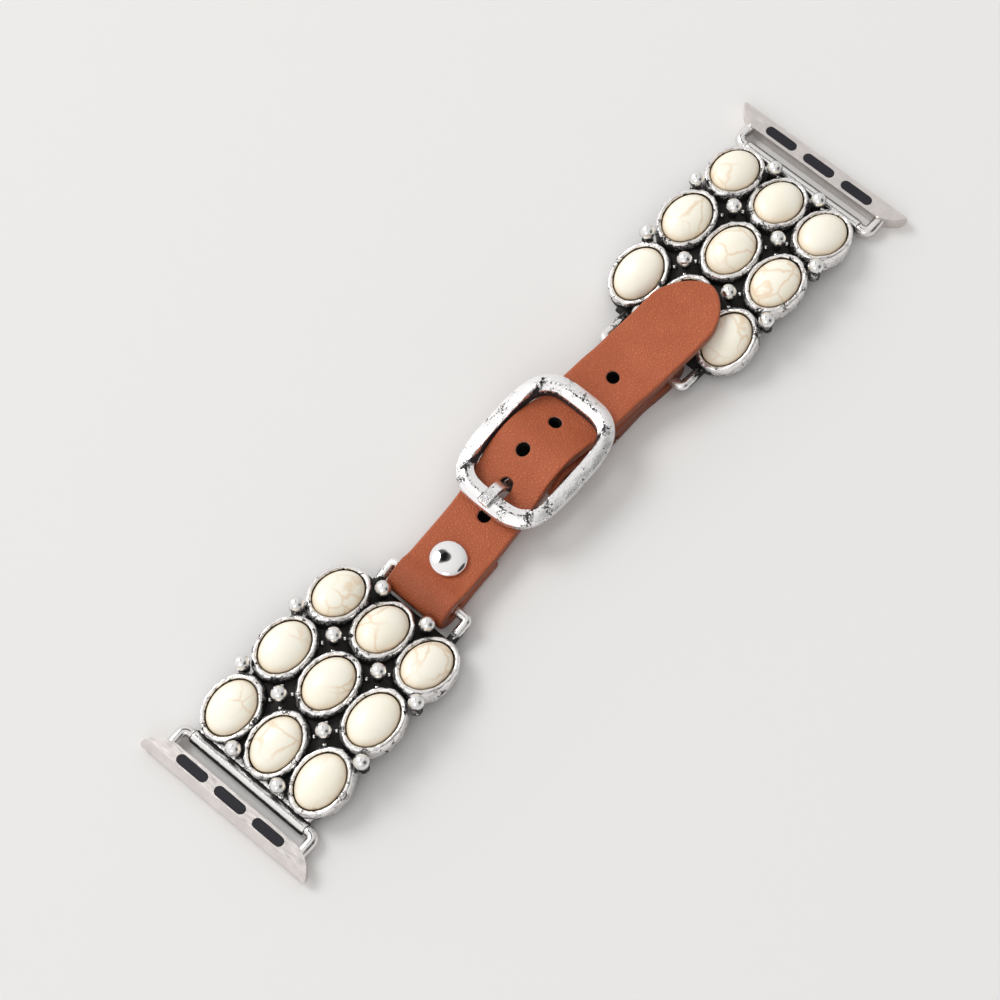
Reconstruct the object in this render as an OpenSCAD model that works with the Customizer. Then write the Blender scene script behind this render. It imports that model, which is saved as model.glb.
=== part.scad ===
// Watch band with two cast stone panels, two slide-in adapters and a
// riveted leather strap closed by a centre-bar buckle.
// Millimetres. X runs along the band, Y across it, Z up, floor at zero.

/* [Overall] */
// Distance between the outer rims of the two adapters, buckled and laid out
overall_length = 122.8; // [108:0.1:140]
// Tip to tip length of one adapter, across the band
adapter_length = 28.4; // [26:0.1:34]

/* [Adapters] */
// Width of the adapter body along the band
adapter_width = 3.0; // [2.8:0.1:4]
// Thickness of the adapter body
adapter_thickness = 2.4; // [2.2:0.05:3]
// Length of the straight part of the inner edge
adapter_straight = 20; // [18:0.5:22]
// Length of the black inserts and of the lock button
insert_length = 5.1; // [4:0.1:6]
// Width of the black inserts and of the lock button
insert_width = 1.45; // [1.2:0.05:1.6]
// Distance between neighbouring inserts
insert_pitch = 6.56; // [6:0.01:7.5]
// Inset of the row of inserts from the outer rim
insert_inset = 1.85; // [1.6:0.05:2]
// Side play of the lock button in its slot
button_play = 0.1; // [0.05:0.01:0.2]
// Height of the cover that closes the lock pocket
lock_cover_height = 0.45; // [0.3:0.05:0.6]
// Diameter of the round wire lugs
lug_wire = 1.6; // [1.4:0.05:2]
// Distance of the lug axis from the middle of the band
lug_y = 11.25; // [10.8:0.05:11.6]

/* [Hinges] */
// Distance of the hinge pin from the outer rim
pin_inset = 5.4; // [4.8:0.1:6.5]
// Height of the hinge pin above the floor
pin_height = 1.25; // [1.1:0.05:1.6]
// Diameter of the hinge pin
pin_diameter = 1.0; // [0.8:0.05:1.2]
// Radial play of the pin in the barrel
pin_play = 0.05; // [0.02:0.01:0.1]
// Outer diameter of the hinge barrel
barrel_diameter = 2.0; // [1.8:0.05:2.4]
// Length of the hinge barrel
barrel_length = 19.4; // [17:0.1:20]
// Gap between each end of the barrel and its lug
lug_gap = 0.15; // [0.1:0.05:0.3]

/* [Panels] */
// Distance of the outer stone cups from the hinge pin
cup_to_pin = 0.12; // [0.1:0.02:1]
// Distance of the loop bar from the inner stone cups
cup_to_loop = 3.32; // [3.2:0.02:5]
// Distance between neighbouring rows of stones
row_pitch = 10.6; // [10:0.05:12]
// Distance between neighbouring columns of stones
column_pitch = 7.64; // [7.5:0.02:8.4]
// Radius of the arch through the tops of the stones
arch_radius = 46; // [40:1:80]
// Height of the tops of the middle row above the floor
crown_height = 7.2; // [6.8:0.05:8]
// Thickness of the backing plate
plate_thickness = 1.1; // [0.9:0.05:1.4]
// Diameter of the cast balls between the stones
ball_diameter = 2.2; // [1.6:0.1:2.5]
// Height of the centres of the balls above the underside of the plate
ball_height = 3.1; // [2:0.05:3.4]
// Diameter of the stems of the balls
stem_diameter = 1.2; // [0.8:0.1:1.6]
// Diameter of the small granules beside the inner balls
granule_diameter = 0.6; // [0.4:0.05:0.8]
// Diameter of the wire loop that holds the leather
loop_wire = 1.4; // [1.2:0.05:1.6]
// Play of the leather folds round the loop bars
loop_play = 0.08; // [0.06:0.01:0.2]
// Clearance between the strap and each leg of the loop
loop_side_gap = 0.675; // [0.5:0.025:1.2]
// Offset of the loop and its strap across the band
loop_y = -0.65; // [-0.8:0.05:-0.4]

/* [Stones] */
// Length of a stone, along the band
stone_length = 8; // [7:0.1:9]
// Width of a stone, across the band
stone_width = 6; // [5:0.1:6.4]
// Height of a stone
stone_height = 3.0; // [2.6:0.05:3.6]
// Thickness of the bezel wall at the ends of the oval
bezel_wall = 0.78; // [0.5:0.02:0.9]
// Height of the bezel above the plate
bezel_height = 1.7; // [1.3:0.05:2]
// Gap between a stone and its bezel
stone_gap = 0.05; // [0.02:0.01:0.1]

/* [Straps] */
// Thickness of the leather
leather_thickness = 1.7; // [1.4:0.05:1.8]
// Width of both straps
strap_width = 10.05; // [9:0.05:10.1]
// Narrowing of the long strap from its fold to the buckle
fold_taper = 0.45; // [0:0.05:1]
// Length of the folded tail at full width, from the left loop bar
tail_reach = 8.8; // [8:0.1:10]
// Length of the folded tail with its narrow end, from the left loop bar
tongue_reach = 13.3; // [12:0.1:13.6]
// Width of the narrow end of the folded tail
tongue_width = 6; // [4:0.1:8]
// Gap between two layers of leather
layer_gap = 0.06; // [0.05:0.01:0.15]
// Diameter of the adjustment holes
hole_diameter = 1.8; // [1.4:0.1:2.2]
// Length of the hole stretched by the prong
prong_hole_length = 3.5; // [3.3:0.1:3.7]
// Sideways bow of the long strap inside the buckle
strap_bow = 1.22; // [0.6:0.02:1.22]
// Width of the slot for the prong in the short strap
prong_slot = 2.0; // [1.9:0.05:2.6]

/* [Buckle] */
// Position of the centre bar along the band
buckle_x = 1.1; // [0.8:0.1:1.4]
// Position of the buckle across the band
buckle_y = 0.75; // [0.7:0.05:0.9]
// Diameter of the centre bar
centre_bar_diameter = 1.5; // [1.3:0.05:1.6]
// Play of the leather fold round the centre bar
bar_play = 0.1; // [0.06:0.01:0.2]
// Inner length of the buckle frame
frame_inner_length = 15.7; // [15:0.1:16]
// Clearance between the strap and each long rail of the frame
frame_side_gap = 0.725; // [0.7:0.025:1.2]
// Width of the long rails of the frame
rail_width = 2.1; // [1.9:0.05:2.6]
// Width of the end bars of the frame
end_bar_width = 2.85; // [2.7:0.05:3.4]
// Fullness of the outer corners of the frame, where 2 is an ellipse
frame_fullness = 3.25; // [3:0.05:4.4]
// Fullness of the inner corners of the frame
opening_fullness = 4.2; // [4:0.1:5.6]
// Height of the buckle frame
frame_height = 1.95; // [1.7:0.05:2.2]
// Clearance of the level frame over the long strap
frame_clearance = 0.01; // [0:0.01:0.4]
// Tilt of the frame towards the prong side
frame_tilt = 2.5; // [1.5:0.1:2.5]
// Width of the prong
prong_width = 1.5; // [1.2:0.05:1.6]
// Thickness of the prong
prong_thickness = 0.9; // [0.7:0.05:1]

/* [Rivets] */
// Diameter of the domed rivet cap
rivet_diameter = 5.1; // [4:0.1:5.4]
// Height of the domed rivet cap
rivet_dome = 1.2; // [0.8:0.05:1.6]
// Distance of the strap rivet from the left loop bar
rivet_reach = 4.3; // [4.2:0.05:4.9]
// Position of the strap rivet across the band
rivet_y = -0.05; // [-0.4:0.05:0.4]
// Diameter of the rivet posts
post_diameter = 1.8; // [1.4:0.1:2]
// Diameter of the flat rivets in the short strap
flat_rivet_diameter = 3.2; // [2.6:0.1:4]

/* [Hidden] */
$fn = 48;
rim_x = overall_length / 2;
pin_x = rim_x - pin_inset;
insert_x = rim_x - insert_inset;
half_leather = leather_thickness / 2;
pocket_length = insert_length + 1.1;
pocket_width = insert_width + 0.2;
insert_depth = 0.9;
insert_proud = 0.04;
fit_gap = 0.02;
foot_z = adapter_thickness - 1.3;
foot_height = 0.4;
spring_gap = 0.08;
spring_half = 0.06;
lug_hold = 1.6;
lug_start = barrel_length / 2 + lug_gap;
lug_straight = 0.45;
pin_hold = 0.5;
stack = plate_thickness + stone_height;
under_radius = arch_radius - stack;
mid_radius = under_radius + plate_thickness / 2;
arch_z = crown_height - arch_radius;
row_angle = asin(row_pitch / arch_radius);
stone_a = stone_length / 2;
stone_b = stone_width / 2;
seat_a = stone_a + stone_gap;
seat_b = stone_b + stone_gap;
bezel_a = seat_a + bezel_wall;
bezel_b = seat_b + bezel_wall * 0.82;
step_a = bezel_a + 0.12;
step_b = bezel_b + 0.05;
step_height = 0.45;
girdle = 0.95;
outer_ball_run = bezel_a - 0.98;
inner_ball_run = bezel_a - 0.53;
root = 0.3;
row_x = pin_x - row_pitch - bezel_a - cup_to_pin;
loop_bar_x = row_x - row_pitch - bezel_a - cup_to_loop;
ball_r = ball_diameter / 2;
pin_r = pin_diameter / 2;
lug_r = lug_wire / 2;
elbow = lug_y - lug_start - lug_straight;
loop_r = loop_wire / 2;
loop_leg_y = strap_width / 2 + loop_side_gap + loop_r;
loop_fold = loop_r + loop_play + half_leather;
loop_z = loop_fold + half_leather;
bar_r = centre_bar_diameter / 2;
bar_fold = bar_r + bar_play + half_leather;
bar_z = bar_fold + half_leather;
fold_radius = bar_fold + half_leather;
base_height = 0.58;
tail_z = base_height + half_leather;
cover_z = tail_z + leather_thickness + layer_gap;
low_z = half_leather;
high_z = leather_thickness + layer_gap + half_leather;
flat_gap = 0.13;
crest_gap = 0.17;
over_gap = 0.391;
rest_gap = 0.35;
flat_z = high_z + leather_thickness + flat_gap;
top_z = bar_z + bar_fold + leather_thickness + crest_gap;
over_z = loop_z + loop_fold + leather_thickness + over_gap;
rest_z = arch_z + arch_radius * cos(row_angle) + half_leather + rest_gap;
frame_rise = flat_z + half_leather - bar_z + frame_clearance;
notch_depth = 0.5;
shoulder = (strap_width - tongue_width) / 2;
prong_y = buckle_y + 0.15;
prong_hub = 1.35;
prong_hole_x = buckle_x - 6;
rivet_x = rivet_reach - loop_bar_x;
flat_rivets = [[buckle_x + 7.2, 0.05], [loop_bar_x - 8.3, 0.05]];
flat_rivet_height = 0.35;
flat_post = 1.4;

// Ellipse as a list of points
function oval(a, b, n = 36) =
    [for (i = [0 : n - 1]) [a * cos(i * 360 / n), b * sin(i * 360 / n)]];

// Oval with fuller corners
function signed_power(v, p) = sign(v) * pow(abs(v), p);
function full_oval(a, b, e, n = 40) =
    [for (i = [0 : n - 1])
        [a * signed_power(cos((i + 0.5) * 360 / n), 2 / e),
         b * signed_power(sin((i + 0.5) * 360 / n), 2 / e)]];

// Slot with round ends, long side across the band
function slot_points(l, w, n = 7) =
    concat(
        [for (i = [0 : n]) [w / 2 * cos(i * 180 / n), (l - w) / 2 + w / 2 * sin(i * 180 / n)]],
        [for (i = [0 : n]) [-w / 2 * cos(i * 180 / n), -(l - w) / 2 - w / 2 * sin(i * 180 / n)]]);

// Smooth curve through a list of points
function knot(p, i) = p[max(0, min(len(p) - 1, i))];
function blend(a, b, c, d, t) =
    0.5 * (2 * b + (c - a) * t + (2 * a - 5 * b + 4 * c - d) * t * t
    + (3 * b - a - 3 * c + d) * t * t * t);
function smooth(p, k) =
    concat(
        [for (i = [0 : len(p) - 2]) for (j = [0 : k - 1])
            blend(knot(p, i - 1), knot(p, i), knot(p, i + 1), knot(p, i + 2), j / k)],
        [p[len(p) - 1]]);

// Band of even thickness along a curve
function side_of(p, i) =
    let (d = knot(p, i + 1) - knot(p, i - 1), l = norm(d)) [-d[1] / l, d[0] / l];
function band(p, h) =
    concat(
        [for (i = [0 : len(p) - 1]) p[i] + h * side_of(p, i)],
        [for (i = [len(p) - 1 : -1 : 0]) p[i] - h * side_of(p, i)]);

// Part of a circle
function arc(x, z, r, from, to, n) =
    [for (i = [0 : n]) [x + r * cos(from + (to - from) * i / n),
                        z + r * sin(from + (to - from) * i / n)]];

// Height between two levels
function between(low, high, share) = low + share * (high - low);

// Curves of the two straps, seen from the side
long_curve = concat(
    [for (p = [[tongue_reach, 0], [10.2, 0], [7.1, 0], [5.3, 0], [2.55, 0], [1.4, -0.21]])
        [p[0] - loop_bar_x, tail_z + p[1]]],
    arc(-loop_bar_x, loop_z, loop_fold, -72, -288, 9),
    [for (p = [[1.2, 0.49], [1.95, 0.11], [3, 0], [5.1, 0], [7.1, 0]])
        [p[0] - loop_bar_x, cover_z + p[1]]],
    [for (p = [[-13.5, 0.003], [-11.5, 0.02], [-9.2, 0.065], [-7.5, 0.147], [-6, 0.311]])
        [buckle_x + p[0], between(cover_z, top_z, p[1])]],
    [for (p = [[-1.451, 0.645], [-0.667, 0.911], [0, 1]])
        [buckle_x + p[0] * fold_radius, between(cover_z, top_z, p[1])]],
    [for (p = [[0.706, 0.893], [1.529, 0.512]])
        [buckle_x + p[0] * fold_radius, between(flat_z, top_z, p[1])]],
    [for (p = [[6, 0.113], [7.9, 0], [9.7, 0]])
        [buckle_x + p[0], between(flat_z, top_z, p[1])]],
    [for (p = [[-8.5, 0], [-6.3, 0.006], [-4.7, 0.148], [-3.1, 0.512], [-1.6, 0.83]])
        [loop_bar_x + p[0], between(flat_z, over_z, p[1])]],
    [for (p = [[0.1, 0], [2.6, 0.541], [5.3, 0.895], [8.5, 1], [12.7, 1]])
        [loop_bar_x + p[0], between(over_z, rest_z, p[1])]]);
short_curve = concat(
    [[loop_bar_x - 11, low_z]],
    [for (run = [7.9, 4.3, 1.7]) [buckle_x + run, low_z]],
    arc(buckle_x, bar_z, bar_fold, -90, -270, 8),
    [for (p = [[1.4, 0.884], [2.8, 0.482], [4.2, 0.116], [5.7, 0], [8.4, 0]])
        [buckle_x + p[0], between(high_z, bar_z + bar_fold, p[1])]],
    [for (p = [[-8.7, 0], [-5.7, 0], [-4.1, 0.167], [-2.5, 0.607], [-1.3, 0.893]])
        [loop_bar_x + p[0], between(high_z, loop_z + loop_fold, p[1])]],
    arc(loop_bar_x, loop_z, loop_fold, 90, -90, 8),
    [for (run = [-1.5, -4.7, -8.8, -10.7]) [loop_bar_x + run, low_z]]);

// Outlines of the two straps, seen from above
function half_at(x) =
    (strap_width - fold_taper * max(0, min(1, (buckle_x - 4.1 - x) / 7))) / 2;
function edge_of(p, k) = [for (q = p) q + [0, k * half_at(q[0])]];
function reversed(p) = [for (i = [len(p) - 1 : -1 : 0]) p[i]];
function near_x(x, p) = [for (q = p) [x + q[0], q[1]]];
bow_share = strap_bow / 1.22;
long_mid = smooth(concat(
    near_x(-loop_bar_x, [[-4.3, -0.35], [-0.3, -0.27], [4.4, -0.03], [8.7, 0.15]]),
    near_x(buckle_x, [[-10.6, 0.4], [-6, 0.92 * bow_share], [-3.1, 1.18 * bow_share],
                      [-0.8, 1.22 * bow_share], [1.9, 1.18 * bow_share],
                      [4.6, 0.9 * bow_share], [7.4, 0.65 * bow_share], [9.9, 0.42]]),
    near_x(loop_bar_x, [[-8.7, 0.25], [-5.6, 0], [-2.7, -0.6], [0.3, -1.05],
                        [3.3, -1.43], [5.8, -1.6]])), 2);
tip = [for (i = [-7 : 7])
    let (c = pow(cos(i * 11.25), 1.18), s = signed_power(sin(i * 11.25), 1.18))
       [loop_bar_x + 5.8 + 6.35 * c, -1.6 - 0.45 * c + strap_width / 2 * s]];
long_outline = concat(edge_of(long_mid, -1), tip, reversed(edge_of(long_mid, 1)));
short_mid = concat(
    near_x(buckle_x, [[-3.6, 0.6], [1.4, 0.5], [5.9, 0.2], [9.9, 0.05]]),
    near_x(loop_bar_x, [[-5.7, 0], [-2.7, -0.35], [0.3, -0.62], [4.3, -0.7]]));
short_outline = concat(
    [for (p = short_mid) p - [0, strap_width / 2 - 0.1]],
    [for (p = reversed(short_mid)) p + [0, strap_width / 2 - 0.1]]);
holes = near_x(buckle_x, [[-11.2, 0.4], [-1.1, 1.95], [4.5, 1.5], [9.75, 0.75], [14.9, 0.07]]);

// Solid with the given outline seen from the side, centred across the band
module from_side(points, w) {
    rotate([90, 0, 0])
        linear_extrude(height = w, center = true)
            polygon(points);
}

// Prism with the given outline seen from above
module from_above(points, z0, z1) {
    translate([0, 0, z0])
        linear_extrude(height = z1 - z0)
            polygon(points);
}

// Round bar along Y
module cross_bar(x, y, z, r, l) {
    translate([x, y - l / 2, z])
        rotate([-90, 0, 0])
            cylinder(r = r, h = l);
}

// Place on the underside of the panel plate, by arch angle and run beyond it
module on_panel(angle, run, y) {
    translate([row_x, y, arch_z])
        rotate([0, angle, 0])
            translate([run, 0, under_radius])
                children();
}

// Adapter body with its rounded outer rim and pointed ends
module adapter_body() {
    t = adapter_thickness;
    w = adapter_width;
    h = adapter_length / 2;
    s = adapter_straight / 2;
    heel = 0.35;
    rim = 0.95;
    point = 0.3;
    r = ((w - point) * (w - point) + (h - s) * (h - s)) / (2 * (w - point));
    a = asin((h - s) / r);
    side = [[-w, heel], [-w + heel, 0], [-rim, 0], [0, rim], [0, t - rim], [-rim, t], [-w, t]];
    edge = [for (i = [0 : 8]) [-w + r - r * cos(a * i / 8), s + r * sin(a * i / 8)]];
    plan = concat(
        edge,
        [[0, h - point / 2], [0, -h + point / 2]],
        [for (i = [8 : -1 : 0]) [edge[i][0], -edge[i][1]]]);
    color("silver")
        difference() {
            translate([rim_x, 0, 0])
                intersection() {
                    from_side(side, adapter_length + 2);
                    from_above(plan, -1, t + 1);
                }
            for (k = [-1, 1])
                translate([insert_x, k * insert_pitch, 0])
                    from_above(slot_points(insert_length, insert_width), t - insert_depth, t + 1);
            translate([insert_x, 0, 0])
                from_above(slot_points(insert_length, insert_width), foot_z - 0.1, t + 1);
            translate([insert_x - pocket_width / 2, -pocket_length / 2, -1])
                cube([pocket_width, pocket_length, foot_z + foot_height + 1.05]);
            for (k = [-1, 1])
                translate([pin_x, k * lug_y, pin_height])
                    rotate([0, 90, 0])
                        cylinder(r = lug_r + fit_gap, h = pin_inset - lug_hold);
        }
}

// The two bent wire lugs that carry the hinge pin
module adapter_lugs() {
    bend_y = lug_start + lug_straight;
    color("gainsboro")
        for (k = [0, 1])
            mirror([0, k, 0])
                difference() {
                    union() {
                        translate([pin_x, lug_start, pin_height])
                            rotate([-90, 0, 0])
                                cylinder(r = lug_r, h = lug_straight);
                        translate([pin_x + elbow, bend_y, pin_height])
                            rotate([0, 0, 90])
                                rotate_extrude(angle = 90)
                                    translate([elbow, 0])
                                        circle(r = lug_r);
                        translate([pin_x + elbow, lug_y, pin_height])
                            rotate([0, 90, 0])
                                cylinder(r = lug_r, h = pin_inset - lug_hold - elbow);
                    }
                    translate([pin_x, lug_start - 0.85, pin_height])
                        rotate([-90, 0, 0])
                            cylinder(r = pin_r + 0.01, h = pin_hold + 0.85);
                }
}

// The two fixed black inserts
module adapter_inserts() {
    color("black")
        for (k = [-1, 1])
            translate([insert_x, k * insert_pitch, 0])
                from_above(
                    slot_points(insert_length - fit_gap, insert_width - fit_gap),
                    adapter_thickness - insert_depth, adapter_thickness + insert_proud);
}

// Pin through the barrel, held in the lugs
module hinge_pin() {
    color("silver")
        cross_bar(pin_x, 0, pin_height, pin_r, 2 * (lug_start + pin_hold));
}

// Sprung button that locks the adapter in its slot
module lock_button() {
    l = insert_length - 2 * button_play;
    w = insert_width - 2 * button_play;
    foot = pocket_length - 0.24;
    color("black")
        translate([insert_x, 0, 0])
            union() {
                from_above(slot_points(l, w), foot_z, adapter_thickness + insert_proud);
                translate([-w / 2, -foot / 2, foot_z])
                    cube([w, foot, foot_height]);
            }
}

// Bowed leaf spring under the lock button
module lock_spring() {
    low = lock_cover_height + spring_gap;
    high = foot_z - spring_gap;
    reach = insert_length / 2 - 0.05;
    knee = between(low, high, 0.714);
    leaf = smooth([[-reach, low], [-reach / 2, knee], [0, high], [reach / 2, knee], [reach, low]], 4);
    color("gray")
        translate([insert_x, 0, 0])
            rotate([90, 0, 90])
                linear_extrude(height = 1.1, center = true)
                    polygon(band(leaf, spring_half));
}

// Cover pressed into the underside of the adapter
module lock_cover() {
    color("silver")
        translate([insert_x - pocket_width / 2, -pocket_length / 2, 0])
            cube([pocket_width, pocket_length, lock_cover_height]);
}

// Point on the middle of the plate's straight inner end, by run beyond the inner row
function inner_end(run) = [
    row_x - mid_radius * sin(row_angle) - run * cos(row_angle),
    arch_z + mid_radius * cos(row_angle) - run * sin(row_angle)];

// Side view of the arched plate
module plate_curve() {
    a = row_angle;
    r = mid_radius;
    bend = [for (i = [-8 : 8]) [row_x + r * sin(a * i / 8), arch_z + r * cos(a * i / 8)]];
    from_side(
        band(
            concat([inner_end(bezel_a + 1.07)], bend, [[pin_x - 0.3, pin_height - 0.25]]),
            plate_thickness / 2),
        adapter_length + 2);
}

// Outline of the plate with a scallop for every stone and ball
module plate_outline() {
    first = row_x - row_pitch - inner_ball_run - 0.2;
    last = pin_x;
    linear_extrude(height = 12)
        union() {
            translate([row_x - row_pitch, -column_pitch - 1.66])
                square([2 * row_pitch, 2 * column_pitch + 3.32]);
            translate([first - 0.2, -loop_leg_y - 1.2])
                square([row_pitch, 2 * loop_leg_y + 2.4]);
            translate([row_x + row_pitch, -barrel_length / 2 + 0.2])
                square([last - row_x - row_pitch, barrel_length - 0.4]);
            for (i = [-1 : 1])
                for (j = [-1 : 1])
                    translate([row_x + i * row_pitch * 0.955, j * column_pitch])
                        polygon(oval(step_a + 0.1, step_b + 0.3, 28));
            for (i = [-0.5, 0.5])
                for (j = [-1.35, 1.35])
                    translate([row_x + i * row_pitch * 0.96, j * column_pitch])
                        polygon(oval(1.35, 1.35, 14));
        }
}

// One open cup for a stone
module bezel() {
    difference() {
        union() {
            from_above(oval(bezel_a, bezel_b), root, plate_thickness + bezel_height);
            from_above(oval(step_a, step_b), root, plate_thickness + step_height);
        }
        from_above(oval(seat_a, seat_b), plate_thickness, 5);
    }
}

// Cast ball on its stem
module ball() {
    translate([0, 0, root])
        cylinder(d = stem_diameter, h = ball_height - root);
    translate([0, 0, ball_height])
        sphere(r = ball_r, $fn = 40);
}

// The cast panel, with cups, balls, barrel and strap loop
module panel_casting() {
    a = row_angle;
    color("darkgray")
        difference() {
            union() {
                intersection() {
                    plate_curve();
                    plate_outline();
                }
                for (i = [-1 : 1])
                    for (j = [-1 : 1])
                        on_panel(i * a, 0, j * column_pitch)
                            bezel();
                for (i = [-0.5, 0.5])
                    for (j = [-1.35, -0.5, 0.5, 1.35])
                        on_panel(i * a, 0, j * column_pitch)
                            ball();
                for (j = [-0.5, 0.5]) {
                    on_panel(a, outer_ball_run, j * column_pitch)
                        ball();
                    on_panel(-a, -inner_ball_run, j * column_pitch)
                        ball();
                }
                for (i = [-0.5, 0.5])
                    for (j = [-0.5, 0.5])
                        for (k = [-1, 1])
                            for (m = [-1, 1])
                                on_panel(i * a, k * 1.2, j * column_pitch + m * 0.9)
                                    translate([0, 0, plate_thickness + 0.12])
                                        sphere(r = granule_diameter / 2, $fn = 24);
                cross_bar(pin_x, 0, pin_height, barrel_diameter / 2, barrel_length);
                cross_bar(loop_bar_x, loop_y, loop_z, loop_r, 2 * loop_leg_y);
                for (y = [loop_y - loop_leg_y, loop_y + loop_leg_y]) {
                    cross_bar(loop_bar_x, y, loop_z, loop_r + 0.06, loop_wire);
                    translate([0, y, 0])
                        from_side(band([[loop_bar_x, loop_z], inner_end(bezel_a)], loop_r * 0.9), loop_wire);
                }
            }
            for (i = [-1 : 1])
                for (j = [-1 : 1])
                    on_panel(i * a, 0, j * column_pitch)
                        from_above(oval(seat_a, seat_b), plate_thickness, stack + 0.5);
            cross_bar(pin_x, 0, pin_height, pin_r + pin_play, barrel_length + 2);
        }
}

// Oval cabochon, placed by row and column
module stone(i, j) {
    color("ivory")
        on_panel(i * row_angle, 0, j * column_pitch)
            translate([0, 0, plate_thickness])
                intersection() {
                    translate([0, 0, girdle])
                        scale([stone_a + 0.12, stone_b + 0.12, stone_height - girdle])
                            sphere(r = 1, $fn = 96);
                    from_above(oval(stone_a, stone_b), 0, stone_height + 1);
                }
}

// Turns a right-hand piece into the left-hand one
module left() {
    mirror([1, 0, 0])
        children();
}

// Long strap, folded round the left loop
module long_strap() {
    color("saddlebrown")
        difference() {
            intersection() {
                from_side(band(smooth(long_curve, 2), half_leather), 24);
                from_above(long_outline, -1, 10);
            }
            for (h = holes)
                translate([h[0], h[1], 1])
                    cylinder(d = hole_diameter, h = 8);
            translate([prong_hole_x, prong_y, cover_z - half_leather])
                linear_extrude(height = 5)
                    rotate([0, 0, 90])
                        polygon(slot_points(prong_hole_length, hole_diameter + 0.2));
            translate([rivet_x, rivet_y, -1])
                cylinder(d = post_diameter + 0.1, h = 8);
            for (k = [-1, 1])
                translate([tail_reach - loop_bar_x, k * strap_width / 2 - shoulder, -1])
                    cube([tongue_reach, 2 * shoulder, tail_z + half_leather + layer_gap / 2 + 1]);
        }
}

// Domed cap with its post
module strap_rivet_cap() {
    r = rivet_diameter / 2;
    top = cover_z + half_leather + 0.03;
    dome = [for (k = [0 : 7]) [r * cos(k * 11.25 + 11.25 / 2), top + 0.42
            + (rivet_dome - 0.42) * sin(k * 11.25 + 11.25 / 2)]];
    color("gainsboro")
        translate([rivet_x, rivet_y, 0])
            rotate_extrude()
                polygon(concat(
                    [[0, root], [post_diameter / 2, root], [post_diameter / 2, top]],
                    [[r * 0.63, top], [r - 0.08, top + 0.3]],
                    dome,
                    [[0, top + rivet_dome]]));
}

// Flat base of the strap rivet
module strap_rivet_base() {
    color("silver")
        translate([rivet_x, rivet_y, 0])
            difference() {
                cylinder(r = rivet_diameter / 3, h = base_height);
                translate([0, 0, root])
                    cylinder(d = post_diameter + fit_gap, h = 1);
            }
}

// Short strap, folded round the centre bar and the right loop
module short_strap() {
    color("sienna")
        difference() {
            intersection() {
                from_side(band(smooth(short_curve, 2), half_leather), 24);
                from_above(short_outline, -1, 8);
            }
            translate([buckle_x - 4.1, prong_y - prong_slot / 2, -1])
                cube([6.2, prong_slot, 8]);
            for (p = flat_rivets)
                translate([p[0], p[1], 0]) {
                    translate([0, 0, -1])
                        cylinder(d = flat_post + 0.1, h = high_z + 3);
                    translate([0, 0, -1])
                        cylinder(d = flat_rivet_diameter + 0.1, h = 1 + flat_rivet_height);
                    translate([0, 0, high_z + half_leather - flat_rivet_height])
                        cylinder(d = flat_rivet_diameter + 0.1, h = 2);
                }
        }
}

// Flush caps of the two flat rivets
module flat_rivet_caps() {
    z = high_z + half_leather - flat_rivet_height;
    color("silver")
        for (p = flat_rivets)
            translate([p[0], p[1], 0])
                union() {
                    translate([0, 0, z])
                        cylinder(d = flat_rivet_diameter, h = flat_rivet_height);
                    translate([0, 0, 0.15])
                        cylinder(d = flat_post, h = z);
                }
}

// Flush bases of the two flat rivets
module flat_rivet_bases() {
    color("silver")
        for (p = flat_rivets)
            translate([p[0], p[1], 0])
                difference() {
                    cylinder(d = flat_rivet_diameter, h = flat_rivet_height);
                    translate([0, 0, 0.15])
                        cylinder(d = flat_post + fit_gap, h = 1);
                }
}

// Buckle frame with bevelled faces, posts and centre bar
module buckle_frame() {
    c = frame_inner_length / 2;
    d = strap_width / 2 + frame_side_gap;
    a = c + end_bar_width;
    b = d + rail_width;
    h = frame_height;
    e = frame_fullness;
    end_bevel = 1.4;
    side_bevel = 1.0;
    color("lightgray")
        translate([buckle_x, buckle_y, bar_z])
            rotate([0, -frame_tilt, 0])
                difference() {
                    union() {
                        difference() {
                            translate([0, 0, frame_rise])
                                hull() {
                                    from_above(full_oval(a - 0.3, b - 0.3, e), 0, 0.2);
                                    from_above(full_oval(a, b, e), 0.5, 0.9);
                                    from_above(
                                        full_oval(a - end_bevel, b - side_bevel, e + 0.2),
                                        h - 0.1, h);
                                }
                            translate([0, 0, frame_rise - 0.1])
                                from_above(full_oval(c, d, opening_fullness), -1, h + 1);
                            translate([0, 0, frame_rise])
                                hull() {
                                    from_above(full_oval(c, d, opening_fullness), 0.9, 1);
                                    from_above(
                                        full_oval(a - end_bevel - 0.1, b - side_bevel - 0.05, e + 0.3),
                                        h, h + 0.3);
                                }
                        }
                        for (k = [-1, 1])
                            translate([-1.1, k * (d + 0.75) - 0.6, -0.5])
                                cube([2.2, 1.2, frame_rise + 1.2]);
                        cross_bar(0, 0, 0, bar_r, 2 * d + 2);
                    }
                    translate([-a - 1, prong_y - buckle_y, frame_rise + h - notch_depth + 1])
                        translate([2.5, 0, 0])
                            cube([5, prong_width + 0.4, 2], center = true);
                }
}

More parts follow.
